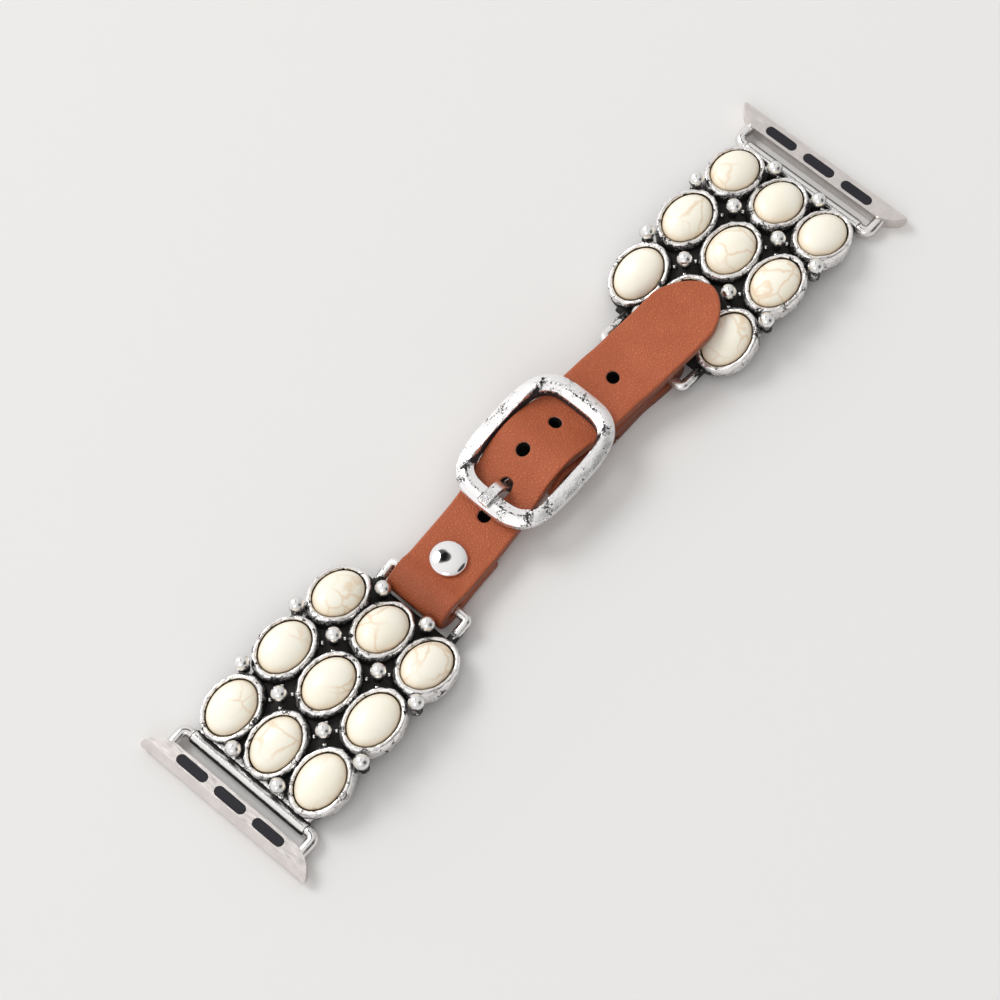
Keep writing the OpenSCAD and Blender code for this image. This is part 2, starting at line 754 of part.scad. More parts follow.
// Prong, turning on the centre bar
module buckle_prong() {
    rest = frame_rise + frame_height - notch_depth;
    path = smooth([for (p = [
        [-0.2, 0.9], [-1.5, 0.87], [-2.9, 0.7], [-4.3, 0.53], [-5.3, 0.75],
        [-6.05, 0.429 * rest], [-6.8, 0.774 * rest], [-7.65, rest], [-8.9, rest + 0.23],
        [-10.7, rest + 0.15]])
            [buckle_x + p[0], bar_z + p[1]]], 3);
    color("lightgray")
        translate([0, prong_y, 0])
            difference() {
                union() {
                    from_side(band(path, prong_thickness / 2), prong_width);
                    cross_bar(buckle_x, 0, bar_z, prong_hub, prong_width);
                }
                cross_bar(buckle_x, 0, bar_z, bar_r + 0.08, prong_width + 2);
            }
}

long_strap();
strap_rivet_cap();
strap_rivet_base();
short_strap();
flat_rivet_caps();
flat_rivet_bases();
buckle_frame();
buckle_prong();
left() panel_casting();  // left_panel_casting
panel_casting();  // right_panel_casting
left() stone(-1, -1);  // left_stone_1
left() stone(-1, 0);  // left_stone_2
left() stone(-1, 1);  // left_stone_3
left() stone(0, -1);  // left_stone_4
left() stone(0, 0);  // left_stone_5
left() stone(0, 1);  // left_stone_6
left() stone(1, -1);  // left_stone_7
left() stone(1, 0);  // left_stone_8
left() stone(1, 1);  // left_stone_9
stone(-1, -1);  // right_stone_1
stone(-1, 0);  // right_stone_2
stone(-1, 1);  // right_stone_3
stone(0, -1);  // right_stone_4
stone(0, 0);  // right_stone_5
stone(0, 1);  // right_stone_6
stone(1, -1);  // right_stone_7
stone(1, 0);  // right_stone_8
stone(1, 1);  // right_stone_9
left() adapter_body();  // left_adapter_body
adapter_body();  // right_adapter_body
left() adapter_lugs();  // left_adapter_lugs
adapter_lugs();  // right_adapter_lugs
left() adapter_inserts();  // left_adapter_inserts
adapter_inserts();  // right_adapter_inserts
left() hinge_pin();  // left_hinge_pin
hinge_pin();  // right_hinge_pin
left() lock_button();  // left_lock_button
lock_button();  // right_lock_button
left() lock_spring();  // left_lock_spring
lock_spring();  // right_lock_spring
left() lock_cover();  // left_lock_cover
lock_cover();  // right_lock_cover
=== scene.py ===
import math

import bmesh
import bpy
import numpy as np
from mathutils import Matrix, Vector, noise


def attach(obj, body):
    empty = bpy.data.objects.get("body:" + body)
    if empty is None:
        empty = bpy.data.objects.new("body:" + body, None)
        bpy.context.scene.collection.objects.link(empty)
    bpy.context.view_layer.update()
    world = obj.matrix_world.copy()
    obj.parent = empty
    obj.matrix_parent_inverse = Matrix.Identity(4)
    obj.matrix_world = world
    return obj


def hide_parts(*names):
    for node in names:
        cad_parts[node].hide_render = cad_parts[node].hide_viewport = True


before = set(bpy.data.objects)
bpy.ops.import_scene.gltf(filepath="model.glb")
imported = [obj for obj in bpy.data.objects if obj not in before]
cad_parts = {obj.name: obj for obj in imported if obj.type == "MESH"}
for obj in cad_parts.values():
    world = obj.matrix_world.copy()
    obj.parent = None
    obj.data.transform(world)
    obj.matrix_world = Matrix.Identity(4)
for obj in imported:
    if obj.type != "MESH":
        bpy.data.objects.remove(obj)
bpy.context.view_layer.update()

# Sizes in millimetres, as in the part's source.
MM = 0.001
# Hinge pin, and a panel's rows, arch and stones.
PIN_X, PIN_Z = 56.0, 1.25
ROW_X, ROW_PITCH, COLUMN_PITCH = 40.45, 10.6, 7.64
ARCH_Z, ARCH_RADIUS = -38.8, 46.0
PLATE, STONE_HEIGHT = 1.1, 3.0
STONE_A, STONE_B = 4.0, 3.0
SEAT_A, SEAT_B = 4.05, 3.05
UNDER_RADIUS = ARCH_RADIUS - PLATE - STONE_HEIGHT
MIDDLE_RADIUS = UNDER_RADIUS + PLATE / 2
ROW_ANGLE = math.asin(ROW_PITCH / ARCH_RADIUS)
GRID = [(i, j) for i in (-1, 0, 1) for j in (-1, 0, 1)]
# Wire loop at the inner end of a panel.
LOOP_X, LOOP_Y, LOOP_Z, LOOP_R, LEG_Y = 21.7, -0.65, 2.48, 0.7, 6.4
# Leather: thickness, widths, folds, heights of its layers.
LEATHER, STRAP_WIDTH, UNDER_WIDTH = 1.7, 10.05, 9.85
TONGUE_LENGTH, TONGUE_WIDTH = 4.5, 6.0
FOLD_R, BAR_FOLD_R = 1.63, 1.7
TAIL_Z, COVER_Z, LOW_Z, HIGH_Z = 1.43, 3.19, 0.85, 2.61
FLAT_Z, TOP_Z, REST_Z = 4.44, 6.12, 7.16
TIP_X, TIP_FULLNESS = LOOP_X + 5.8, 1.18
# Buckle: place, tilt, half sizes of the frame and its opening, corner in degrees.
BUCKLE_X, BUCKLE_Y, BAR_Z = 1.1, 0.75, 2.55
FRAME_TILT, FRAME_RISE, FRAME_HEIGHT = -2.5, 2.75, 1.95
FRAME_A, FRAME_B, OPENING_A, OPENING_FAR_B, OPENING_NEAR_B = 10.7, 7.85, 7.85, 5.53, 5.75
CREASE = 36.5
BAR_R, PRONG_Y, PRONG_REST = 0.75, 0.9, FRAME_HEIGHT + FRAME_RISE - 0.5
# Holes and rivets.
HOLES = [(-9.7, 0.42), (0, 1.95), (5.6, 1.5), (10.85, 0.75), (16, 0.07)]
HOLE_R, RIVET_HOLE_R = 0.9, 0.95
PRONG_HOLE_X, PRONG_HOLE_A, PRONG_HOLE_B = -5.1, 1.56, 0.97
RIVET_X, RIVET_Y, RIVET_R, RIVET_DOME = -17.4, -0.05, 2.55, 1.2
FLAT_RIVETS, FLAT_RIVET_Y, FLAT_SEAT_R, FLAT_SEAT = (8.3, 13.4), 0.05, 1.75, 0.38
# Balls, granules and hinge barrel of a panel.
BALL_R, BALL_Z, GRANULE_R, BARREL_HALF = 1.1, 3.1, 0.36, 9.55
# Middle lines of the two straps, as (x, y).
LONG_BOW = [(-26, -0.35), (-22, -0.27), (-17.3, -0.03), (-13, 0.15), (-9.5, 0.4),
            (-4.9, 0.92), (-2, 1.18), (0.3, 1.22), (3, 1.2), (5.7, 1.03), (8.5, 0.7),
            (11, 0.42), (13, 0.25), (16.1, 0), (19, -0.6), (22, -1.05), (25, -1.43),
            (27.5, -1.6)]
SHORT_BOW = [(-2.5, 0.6), (2.5, 0.5), (7, 0.2), (11, 0.05), (16, 0), (19, -0.35),
             (22, -0.62), (26, -0.7)]
# Wall of a cup round its stone, as (distance out, height, tarnish). Its dark inner rows are
# painted shade where the wall meets the stone; its dark foot is patina in the recess.
CUP_WALL = [(0.0, 1.15, 1.0), (0.0, 2.1, 1.0), (0.02, 2.42, 0.8), (0.08, 2.6, 0.3),
            (0.2, 2.71, 0.14), (0.4, 2.76, 0.1), (0.6, 2.71, 0.14), (0.77, 2.5, 0.24),
            (0.88, 2.2, 0.38), (0.93, 1.85, 0.52), (0.95, 1.5, 0.7), (0.96, 1.15, 0.85),
            (0.97, 0.7, 0.85), (0.93, 0.22, 0.85), (0.5, 0.2, 1.0)]
CUP_STEPS = 110
FINE = 0.02


# Shares and curves.

def between(low, high, share):
    return low + share * (high - low)


def ease(low, high, value):
    """Soft step from 0 at low to 1 at high."""
    t = min(1.0, max(0.0, (value - low) / (high - low)))
    return t * t * (3 - 2 * t)


def bell(distance):
    """1 in the middle, fading to nothing on both sides."""
    return math.exp(-distance ** 2)


def smooth_route(points, steps):
    """Smooth curve through the points."""
    p = [Vector(q) for q in points]
    last = len(p) - 1
    out = []
    for i in range(last):
        a, b = p[max(0, i - 1)], p[i]
        c, d = p[i + 1], p[min(last, i + 2)]
        for j in range(steps):
            t = j / steps
            out.append(0.5 * (2 * b + (c - a) * t + (2 * a - 5 * b + 4 * c - d) * t * t
                              + (3 * b - a - 3 * c + d) * t * t * t))
    out.append(p[last])
    return out


def arc(x, z, radius, start, stop, steps):
    angles = [math.radians(start + (stop - start) * i / steps) for i in range(steps + 1)]
    return [(x + radius * math.cos(a), z + radius * math.sin(a)) for a in angles]


def middle_line(points):
    """The y of a strap's middle line, as a function of x."""
    line = smooth_route(points, 6)
    xs, ys = [p[0] for p in line], [p[1] for p in line]
    return lambda x: float(np.interp(x, xs, ys))


class Route:
    """A side-view curve that is read by its own length."""

    def __init__(self, points, steps):
        self.points = np.array([tuple(p) for p in smooth_route(points, steps)])
        gaps = np.linalg.norm(np.diff(self.points, axis=0), axis=1)
        self.marks = np.concatenate([[0], np.cumsum(gaps)])
        self.length = float(self.marks[-1])

    def at(self, s):
        x = np.interp(s, self.marks, self.points[:, 0])
        z = np.interp(s, self.marks, self.points[:, 1])
        return x, z

    def upright(self, s):
        """Direction square to the curve, on its left side."""
        reach = 0.12
        x0, z0 = self.at(np.maximum(s - reach, 0))
        x1, z1 = self.at(np.minimum(s + reach, self.length))
        size = np.hypot(x1 - x0, z1 - z0)
        return -(z1 - z0) / size, (x1 - x0) / size

    def length_at(self, x, after=0.0, before=None):
        """The length at which the curve passes x, between two given lengths."""
        fine = np.arange(after, before or self.length, FINE)
        return float(fine[np.argmin(np.abs(self.at(fine)[0] - x))])


# Making pieces.

def make_piece(name, bm, body, material, nodes=(), side=1, sharp=60):
    """Turns a mesh in millimetres into a finished piece on its body."""
    bmesh.ops.scale(bm, vec=(MM * side, MM, MM), verts=bm.verts)
    bmesh.ops.recalc_face_normals(bm, faces=bm.faces)
    mesh = bpy.data.meshes.new(name)
    bm.to_mesh(mesh)
    bm.free()
    mesh.materials.append(material)
    mesh.shade_smooth()
    mesh.set_sharp_from_angle(angle=math.radians(sharp))
    piece = bpy.data.objects.new(name, mesh)
    bpy.context.scene.collection.objects.link(piece)
    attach(piece, body)
    if nodes:
        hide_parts(*nodes)


def layer(bm, name="shade"):
    """A value kept at each vertex, which the materials read by its name."""
    return bm.verts.layers.float.get(name) or bm.verts.layers.float.new(name)


def shaded_mesh():
    """An empty mesh, with the value that tarnish and painted shade go by."""
    bm = bmesh.new()
    return bm, layer(bm)


def stack_rings(bm, levels, count, place):
    """Rings that place(turn, level) lays out, bridged one to the next and round."""
    rings = []
    for level in levels:
        made = bmesh.ops.create_circle(bm, segments=count, radius=1)["verts"]
        for i, v in enumerate(made):
            v.co = place(2 * math.pi * i / count, level)
        rings.append(list({e for v in made for e in v.link_edges}))
    for a, b in zip(rings, rings[1:] + rings[:1]):
        bmesh.ops.bridge_loops(bm, edges=a + b)


def turn_profile(bm, profile, centre, axis, steps=48):
    """Spins a closed or axis-to-axis profile of (radius, height) pairs."""
    c, a = Vector(centre), Vector(axis)
    verts = [bm.verts.new(c + Vector((r, 0, 0)) + a * h) for r, h in profile]
    edges = [bm.edges.new(pair) for pair in zip(verts, verts[1:])]
    if profile[0][0] > 0:
        edges.append(bm.edges.new((verts[-1], verts[0])))
    bmesh.ops.spin(bm, geom=verts + edges, cent=c, axis=a, dvec=(0, 0, 0),
                   angle=2 * math.pi, steps=steps, use_merge=True, use_duplicate=False)
    bmesh.ops.remove_doubles(bm, verts=bm.verts, dist=1e-4)


def next_ring(bm, ring, edges):
    """Extrudes a ring and gives the new one in the same order."""
    made = bmesh.ops.extrude_edge_only(bm, edges=edges)["geom"]
    new = {g for g in made if isinstance(g, bmesh.types.BMVert)}
    edges = [g for g in made if isinstance(g, bmesh.types.BMEdge)
             and all(v in new for v in g.verts)]
    old = {v: k for k, v in enumerate(ring)}
    following = [None] * len(ring)
    for v in new:
        before = [e.other_vert(v) for e in v.link_edges if e.other_vert(v) in old]
        following[old[before[0]]] = v
    return following, edges


def sweep(bm, path, section, width_axis=None, tip=1.0):
    """Carries a section of (across, up) pairs along a path, with closed ends."""
    p = [Vector(q) for q in path]
    last = len(p) - 1
    across = Vector(width_axis) if width_axis else None
    ring = None
    for i, q in enumerate(p):
        ahead = (p[min(i + 1, last)] - p[max(i - 1, 0)]).normalized()
        if width_axis is None:
            start = across if across is not None else Vector((0, 1, 0.01)).cross(ahead)
            across = (start - ahead * start.dot(ahead)).normalized()
        up = ahead.cross(across)
        grow = tip if i == last else 1.0
        spots = [q + (across * s + up * t) * grow for s, t in section]
        if ring is None:
            ring = [bm.verts.new(s) for s in spots]
            edges = [bm.edges.new((ring[k - 1], ring[k])) for k in range(len(ring))]
            bm.faces.new(ring)
            continue
        ring, edges = next_ring(bm, ring, edges)
        for v, s in zip(ring, spots):
            v.co = s
    bm.faces.new(ring)


def round_section(radius, count):
    turns = [2 * math.pi * k / count for k in range(count)]
    return [(radius * math.cos(t), radius * math.sin(t)) for t in turns]


def rough(co, size, depth, seed=0.0):
    """Depth of an uneven cast surface at a point in millimetres."""
    return depth * noise.noise(Vector(co) / size + Vector((seed, 3.1 * seed, 0)))


# Sheets with thickness: straps and plates.

def distances(points, ends):
    """Distance of each flat point from the nearest of the flat edges."""
    best = np.full(len(points), 1e9)
    a, b = ends[:, 0], ends[:, 1]
    d = b - a
    size = np.maximum((d * d).sum(1), 1e-12)
    batch = 1500
    for k in range(0, len(points), batch):
        q = points[k:k + batch, None, :]
        t = np.clip(((q - a) * d).sum(2) / size, 0, 1)[..., None]
        best[k:k + batch] = np.linalg.norm(q - (a + t * d), axis=2).min(1)
    return best


def cut_opening(bm, s, y, run, side, fullness=2.0):
    """A round or slot-like opening in a flat sheet, with a fine smooth rim."""
    def reach(p):
        return abs((p.x - s) / run) ** fullness + abs((p.y - y) / side) ** fullness

    def beside(v, margin):
        return abs(v.co.x - s) < run + margin and abs(v.co.y - y) < side + margin

    near = [e for e in bm.edges if all(beside(v, 0.6) for v in e.verts)]
    bmesh.ops.subdivide_edges(bm, edges=near, cuts=1, use_grid_fill=True)
    inside = [f for f in bm.faces if reach(f.calc_center_median()) < 1]
    bmesh.ops.delete(bm, geom=inside, context="FACES")
    rim = layer(bm, "rim")
    for v in bm.verts:
        if v.is_boundary and beside(v, 0.5):
            grow = reach(v.co) ** (-1 / fullness)
            v.co.x, v.co.y = s + (v.co.x - s) * grow, y + (v.co.y - y) * grow
            v[rim] = 1.0


def rounded_off(width, distance):
    """How far a face drops beside an edge that is rounded over a width."""
    return width - math.sqrt(max(0.0, width * width - max(0.0, width - distance) ** 2))


def mark_edges(bm, half, soft):
    """Notes at each vertex of a flat sheet its half thickness and how near an edge it is."""
    hole, edge, rise, rim = [layer(bm, n) for n in ("hole", "edge", "rise", "rim")]
    rim_soft = 0.16

    def ends(on_rim):
        return np.array([[(v.co.x, v.co.y) for v in e.verts] for e in bm.edges
                         if e.is_boundary and all(v[rim] > 0.5 for v in e.verts) == on_rim])

    flat = np.array([(v.co.x, v.co.y) for v in bm.verts])
    outer, inner = ends(False), ends(True)
    from_edge = distances(flat, outer)
    from_rim = distances(flat, inner) if len(inner) else np.full(len(flat), 9.0)
    for v, d, h in zip(bm.verts, from_edge, from_rim):
        v[rise] = half - max(rounded_off(soft, d), rounded_off(rim_soft, h))
        v[edge] = max(0.0, 1 - d / soft)
        v[hole] = max(0.0, 1 - h / rim_soft)


def thicken(bm, route, half, soft, lift=None):
    """Gives a flat sheet of (length, y) its thickness and lays it along a route."""
    for name in ("hole", "edge", "rise", "rim", "under_hole_shade", "bend"):
        layer(bm, name)
    mark_edges(bm, half, soft)
    rise = layer(bm, "rise")
    made = bmesh.ops.extrude_face_region(bm, geom=bm.faces[:])["geom"]
    tops = {g for g in made if isinstance(g, bmesh.types.BMVert)}
    every = list(bm.verts)
    s = np.array([v.co.x for v in every])
    x, z = route.at(s)
    nx, nz = route.upright(s)
    for v, px, pz, ux, uz in zip(every, x, z, nx, nz):
        y = v.co.y
        up = v in tops
        out = v[rise] * (1 if up else -1)
        if lift:
            out += lift(px, y, up)
        v.co = (px + ux * out, y, pz + uz * out)


def strap_sheet(stations, middle, half_width, across=60):
    """Flat sheet of a strap in (length, y), with rows close together at its sides."""
    bm = bmesh.new()
    steps = len(stations) - 1
    bmesh.ops.create_grid(bm, x_segments=steps, y_segments=across, size=1)
    for v in bm.verts:
        s = stations[round((v.co.x + 1) / 2 * steps)]
        side = math.sin(v.co.y * math.pi / 2)
        v.co = (s, middle(s) + side * half_width(s), 0)
    return bm


# Leather.

def long_route():
    b, l = BUCKLE_X, LOOP_X
    fold = [(13.3, 0), (10.2, 0), (7.1, 0), (5.3, 0), (2.55, 0), (1.4, -0.21)]
    back = [(1.2, 0.49), (2.1, 0.2), (3.2, 0.07), (5.1, 0.01), (7.1, 0)]
    climb = [(-13.5, 0.003), (-11.5, 0.02), (-9.2, 0.065), (-7.5, 0.147), (-6, 0.311),
             (-3.7, 0.645), (-1.7, 0.911), (0, 1)]
    fall = [(1.8, 0.893), (3.9, 0.512), (6, 0.113), (7.9, 0), (9.7, 0)]
    rest = [(-8.5, 0), (-6.3, 0.004), (-4.7, 0.096), (-3.1, 0.331), (-1.6, 0.537),
            (0.1, 0.647), (2.6, 0.838), (5.3, 0.963), (8.5, 1), (12.15, 1)]
    points = [(x - l, TAIL_Z + z) for x, z in fold]
    points += [(x + 0.45 * min(0, x + l), z) for x, z in arc(-l, LOOP_Z, FOLD_R, -72, -288, 9)]
    points += [(x - l, COVER_Z + z) for x, z in back]
    points += [(b + x, between(COVER_Z, TOP_Z, z)) for x, z in climb]
    points += [(b + x, between(FLAT_Z, TOP_Z, z)) for x, z in fall]
    points += [(l + x, between(FLAT_Z, REST_Z, z)) for x, z in rest]
    return Route(points, 8)


def short_route():
    b, l = BUCKLE_X, LOOP_X
    points = [(l - 11, LOW_Z), (b + 7.9, LOW_Z), (b + 4.3, LOW_Z), (b + 1.7, LOW_Z)]
    points += arc(b, BAR_Z, BAR_FOLD_R, -90, -270, 8)
    down = [(1.4, 0.884), (2.8, 0.482), (4.2, 0.116), (5.7, 0), (8.4, 0)]
    points += [(b + x, between(HIGH_Z, BAR_Z + BAR_FOLD_R, z)) for x, z in down]
    up = [(-8.7, 0), (-5.7, 0), (-4.1, 0.167), (-2.5, 0.607), (-1.3, 0.893)]
    points += [(l + x, between(HIGH_Z, LOOP_Z + FOLD_R, z)) for x, z in up]
    points += arc(l, LOOP_Z, FOLD_R, 90, -90, 8)
    points += [(l - 1.5, LOW_Z), (l - 4.7, LOW_Z), (l - 8.8, LOW_Z), (l - 10.7, LOW_Z)]
    return Route(points, 8)


def long_sheet(route):
    """Flat sheet of the long strap, with its narrow tongue and its rounded tip."""
    bow = middle_line(LONG_BOW)
    tip = route.length_at(TIP_X, 40)

    def tip_share(s):
        return min(1.0, max(0.0, (s - tip) / (route.length - tip)))

    def middle(s):
        return bow(route.at(s)[0]) - 0.45 * tip_share(s)

    def half_width(s):
        if s < TONGUE_LENGTH:
            return TONGUE_WIDTH / 2
        share = tip_share(s)
        if share > 0:
            turn = math.acos(min(1.0, share ** (1 / TIP_FULLNESS)))
            return STRAP_WIDTH / 2 * math.sin(turn) ** TIP_FULLNESS + 0.015
        towards_fold = max(0.0, min(1.0, (-3.0 - float(route.at(s)[0])) / 7))
        return (STRAP_WIDTH - 0.45 * towards_fold) / 2

    body = list(np.linspace(0, tip, int(tip / 0.27)))
    turns = [math.radians(90 - 90 * k / 30) for k in range(1, 31)]
    end = [tip + (route.length - tip) * math.cos(t) ** TIP_FULLNESS for t in turns]
    return strap_sheet(body + end, middle, half_width)


def long_strap():
    """The strap with the holes, folded round the left loop and riveted."""
    route = long_route()
    bm = long_sheet(route)
    fold_end = 12
    after = route.length_at(-20, fold_end)
    for x, y in HOLES:
        cut_opening(bm, route.length_at(x, after), y, HOLE_R, HOLE_R)
    cut_opening(bm, route.length_at(PRONG_HOLE_X, after), PRONG_Y,
                PRONG_HOLE_A, PRONG_HOLE_B, 2.6)
    for s in (route.length_at(RIVET_X, after), route.length_at(RIVET_X, 0, fold_end)):
        cut_opening(bm, s, RIVET_Y, RIVET_HOLE_R, RIVET_HOLE_R)
    thicken(bm, route, LEATHER / 2, 0.42)
    paint_leather(bm, TAIL_Z - 1, TAIL_Z + 1)
    return bm


def short_strap():
    """The strap folded round the centre bar and the right loop."""
    route = short_route()
    bow = middle_line(SHORT_BOW)
    bm = strap_sheet(list(np.linspace(0, route.length, int(route.length / 0.3))),
                     lambda s: bow(route.at(s)[0]), lambda s: UNDER_WIDTH / 2, 48)
    fine = np.arange(6, 20, FINE)
    bar = fine[route.at(fine)[0] < 3.1]
    cut_opening(bm, float(bar.min() + bar.max()) / 2, PRONG_Y,
                float(bar.max() - bar.min()) / 2, 1.0, 5.0)
    thicken(bm, route, LEATHER / 2, 0.4, lift=rivet_recess)
    paint_leather(bm, HIGH_Z - 0.2, 9)
    return bm


def paint_leather(bm, low, high):
    """Marks what lies under the punched holes and the bend at the loop, for painted shade at
    both.
    """
    under_hole_shade, bend = layer(bm, "under_hole_shade"), layer(bm, "bend")
    for v in bm.verts:
        x, y, z = v.co
        near = min(math.hypot(x - hx, y - hy) for hx, hy in HOLES)
        # Painted shade on the leather that shows through a hole.
        v[under_hole_shade] = (1 - ease(1.5, 2.0, near)) if low < z < high else 0.0
        # Painted shade towards the fold at the loop.
        v[bend] = 1 - ease(-24.6, -19.8, x)


def rivet_recess(x, y, up):
    """Shallow seats for the two flat rivets, on both faces of the folded strap."""
    for rivet_x in FLAT_RIVETS:
        if math.hypot(x - rivet_x, y - FLAT_RIVET_Y) < FLAT_SEAT_R:
            return -FLAT_SEAT if up else FLAT_SEAT
    return 0.0


# Buckle and domed rivet.

def on_frame():
    """Place of the tilted buckle frame."""
    return (Matrix.Translation((BUCKLE_X, BUCKLE_Y, BAR_Z))
            @ Matrix.Rotation(math.radians(FRAME_TILT), 4, "Y"))


def fuller_oval(turn, a, b, fullness):
    """Point of an oval with full corners, in the direction of the turn."""
    c, s = math.cos(turn), math.sin(turn)
    r = (abs(c / a) ** fullness + abs(s / b) ** fullness) ** (-1 / fullness)
    return r * c, r * s


def frame_profile(share, end, q):
    """Height of the frame's top at a share of its width, on an end bar or a rail."""
    rim = 0.97

    def slopes(crest, inside):
        if share > crest:
            return 1.25 + 0.65 * math.sin(math.pi / 2 * (rim - share) / (rim - crest))
        return between(inside, 1.9, (share - 0.04) / (crest - 0.04))

    rail = 0.07 + 0.2 * bell((q - CREASE) / 13)
    return between(slopes(rail, 1.12), slopes(0.5, 1.45), end)


def frame_shade(share, q, height, wear):
    """Tarnish of the frame: specks on the ridges, wedges beside the corner creases, and painted
    shade on the inner wall where it meets the leather.
    """
    near = bell((q - CREASE) / 5.0)
    crease = bell((q - CREASE) / 0.9)
    # Inner wall, where the frame meets the leather: painted shade; the lower outer wall: light
    # tarnish.
    if height <= 1.0 or share < 0.08 and q > CREASE:
        return 0.72 if share < 0.3 else 0.3
    if q < CREASE:
        ridge = bell((share - 0.45) / 0.09) * (0.38 + 0.4 * near + wear)
        return max(0.1 + wear, ridge, 0.7 * near * (0.2 < share < 0.8) * (1 - crease))
    wedge = bell((share - 0.1) / 0.12) * bell((q - CREASE) / 9) * 1.1
    return max(0.12 + wear, (wedge + 0.5 * near * (share < 0.7)) * (1 - crease))


def frame_ring(bm, shade, place):
    """The bevelled ring with its mitred corners and the notch for the prong."""
    tops = [0.97, 0.9, 0.8, 0.7, 0.61, 0.55, 0.5, 0.46, 0.42, 0.37, 0.3, 0.25, 0.2, 0.15,
            0.1, 0.06]
    levels = [(0.0, 0.0), (0.84, 0.0), (1.0, 0.42), (1.0, 0.84)] + [(t, None) for t in tops]
    levels += [(0.0, 1.0)]
    marks = []

    def spot(turn, level):
        share, height = level
        q = abs(math.degrees(math.atan2(abs(math.sin(turn)), abs(math.cos(turn)))))
        end = 1 - ease(CREASE - 1.2, CREASE + 1.2, q)
        if height is None:
            height = frame_profile(share, end, q)
            height += 0.16 * bell((q - CREASE) / 1.1) * (share < 0.8)
        outer = fuller_oval(turn, FRAME_A, FRAME_B, 3.25)
        opening_b = OPENING_FAR_B if math.sin(turn) > 0 else OPENING_NEAR_B
        inner = fuller_oval(turn, OPENING_A, opening_b, 4.2)
        x = between(inner[0], outer[0], share)
        y = between(inner[1], outer[1], share)
        z = FRAME_RISE + height
        wear = rough((x, y, z), 1.4, 0.04, 2) + rough((x, y, z), 0.6, 0.02, 8)
        if x < 0 and abs(y - (PRONG_Y - BUCKLE_Y)) < 0.95:
            z = min(z, PRONG_REST)
        worn = max(0.0, rough((x, y, z), 2.2, 0.55, 13))
        marks.append(frame_shade(share, q, height, worn))
        return place @ Vector((x * (1 + wear * 0.03), y * (1 + wear * 0.03), z + wear))

    stack_rings(bm, levels, 288, spot)
    for v, dark in zip(bm.verts, marks):
        v[shade] = dark


def centre_bar(bm, shade, place):
    """The hidden centre bar and its two posts."""
    for k in (-1, 1):
        post = bmesh.ops.create_cube(bm, size=1)["verts"]
        for v in post:
            v.co = place @ Vector((v.co.x * 2.2, k * 6.5 + v.co.y * 1.2, 1.55 + v.co.z * 3.9))
            v[shade] = 0.25
    bar = bmesh.ops.create_cone(bm, cap_ends=True, segments=40, radius1=BAR_R, radius2=BAR_R,
                                depth=13.5)["verts"]
    turned = place @ Matrix.Rotation(math.pi / 2, 4, "X")
    for v in bar:
        v.co = turned @ v.co
        v[shade] = 0.3
    sides = [e for e in bm.edges if e.calc_length() > 1.0
             and all(abs((place.inverted() @ v.co).x) < 1.2 for v in e.verts)
             and len(e.link_faces) == 2 and e.calc_face_angle(0) > 1.2]
    bmesh.ops.bevel(bm, geom=sides, offset=0.18, offset_type="OFFSET", affect="EDGES",
                    segments=2, profile=0.5, material=-1)


def buckle_frame():
    bm, shade = shaded_mesh()
    place = on_frame()
    frame_ring(bm, shade, place)
    centre_bar(bm, shade, place)
    return bm


def buckle_prong():
    """Flat prong with a chamfered top and a hub round the centre bar."""
    route = [(-0.2, 0.9), (-1.5, 0.87), (-2.9, 0.7), (-4.3, 0.53), (-5.3, 0.75),
             (-6.05, 0.429 * PRONG_REST), (-6.8, 0.774 * PRONG_REST), (-7.65, PRONG_REST),
             (-8.9, PRONG_REST + 0.23), (-10.6, PRONG_REST + 0.15)]
    path = [Vector((BUCKLE_X + p[0], PRONG_Y, BAR_Z + p[1])) for p in smooth_route(route, 6)]
    section = [(0.75, -0.36), (0.68, -0.45), (-0.68, -0.45), (-0.75, -0.36), (-0.75, 0.18),
               (-0.68, 0.24), (-0.36, 0.44), (-0.3, 0.45), (0.3, 0.45), (0.36, 0.44),
               (0.68, 0.24), (0.75, 0.18)]
    bm, shade = shaded_mesh()
    sweep(bm, path, section, width_axis=(0, 1, 0), tip=0.88)
    for v in bm.verts:
        side = abs(v.co.y - PRONG_Y)
        v[shade] = 0.5 if side > 0.7 else 0.25 if side > 0.6 else 0.08
        v.co.z += rough(v.co, 0.8, 0.03, 5)
    hub = [(0.83, -0.7), (0.88, -0.75), (1.25, -0.75), (1.35, -0.65), (1.35, 0.65),
           (1.25, 0.75), (0.88, 0.75), (0.83, 0.7)]
    turn_profile(bm, hub, (BUCKLE_X, PRONG_Y, BAR_Z), (0, 1, 0))
    return bm


def quarter(steps):
    """Angles from 0 up to a right angle, which is left out."""
    return [math.radians(k * 90 / steps) for k in range(steps)]


def rivet_cap():
    """Domed mirror-bright cap on its post."""
    r, top, dome = RIVET_R, COVER_Z + LEATHER / 2 + 0.03, RIVET_DOME
    profile = [(0, 0.3), (0.8, 0.3), (0.9, 0.4), (0.9, top), (1.6, top), (r - 0.14, top + 0.16),
               (r - 0.03, top + 0.26)]
    profile += [(r * math.cos(t), top + 0.36 + (dome - 0.36) * math.sin(t))
                for t in quarter(22)]
    profile += [(0, top + dome)]
    bm, shade = shaded_mesh()
    turn_profile(bm, profile, (RIVET_X, RIVET_Y, 0), (0, 0, 1), 72)
    for v in bm.verts:
        v[shade] = 1 - ease(top + 0.1, top + 0.45, v.co.z)
    return bm


# Panels.

def on_panel(row, run, y):
    """Place on the underside of the arched plate, by row and run beyond it."""
    return (Matrix.Translation((ROW_X, y, ARCH_Z)) @ Matrix.Rotation(row * ROW_ANGLE, 4, "Y")
            @ Matrix.Translation((run, 0, UNDER_RADIUS)))


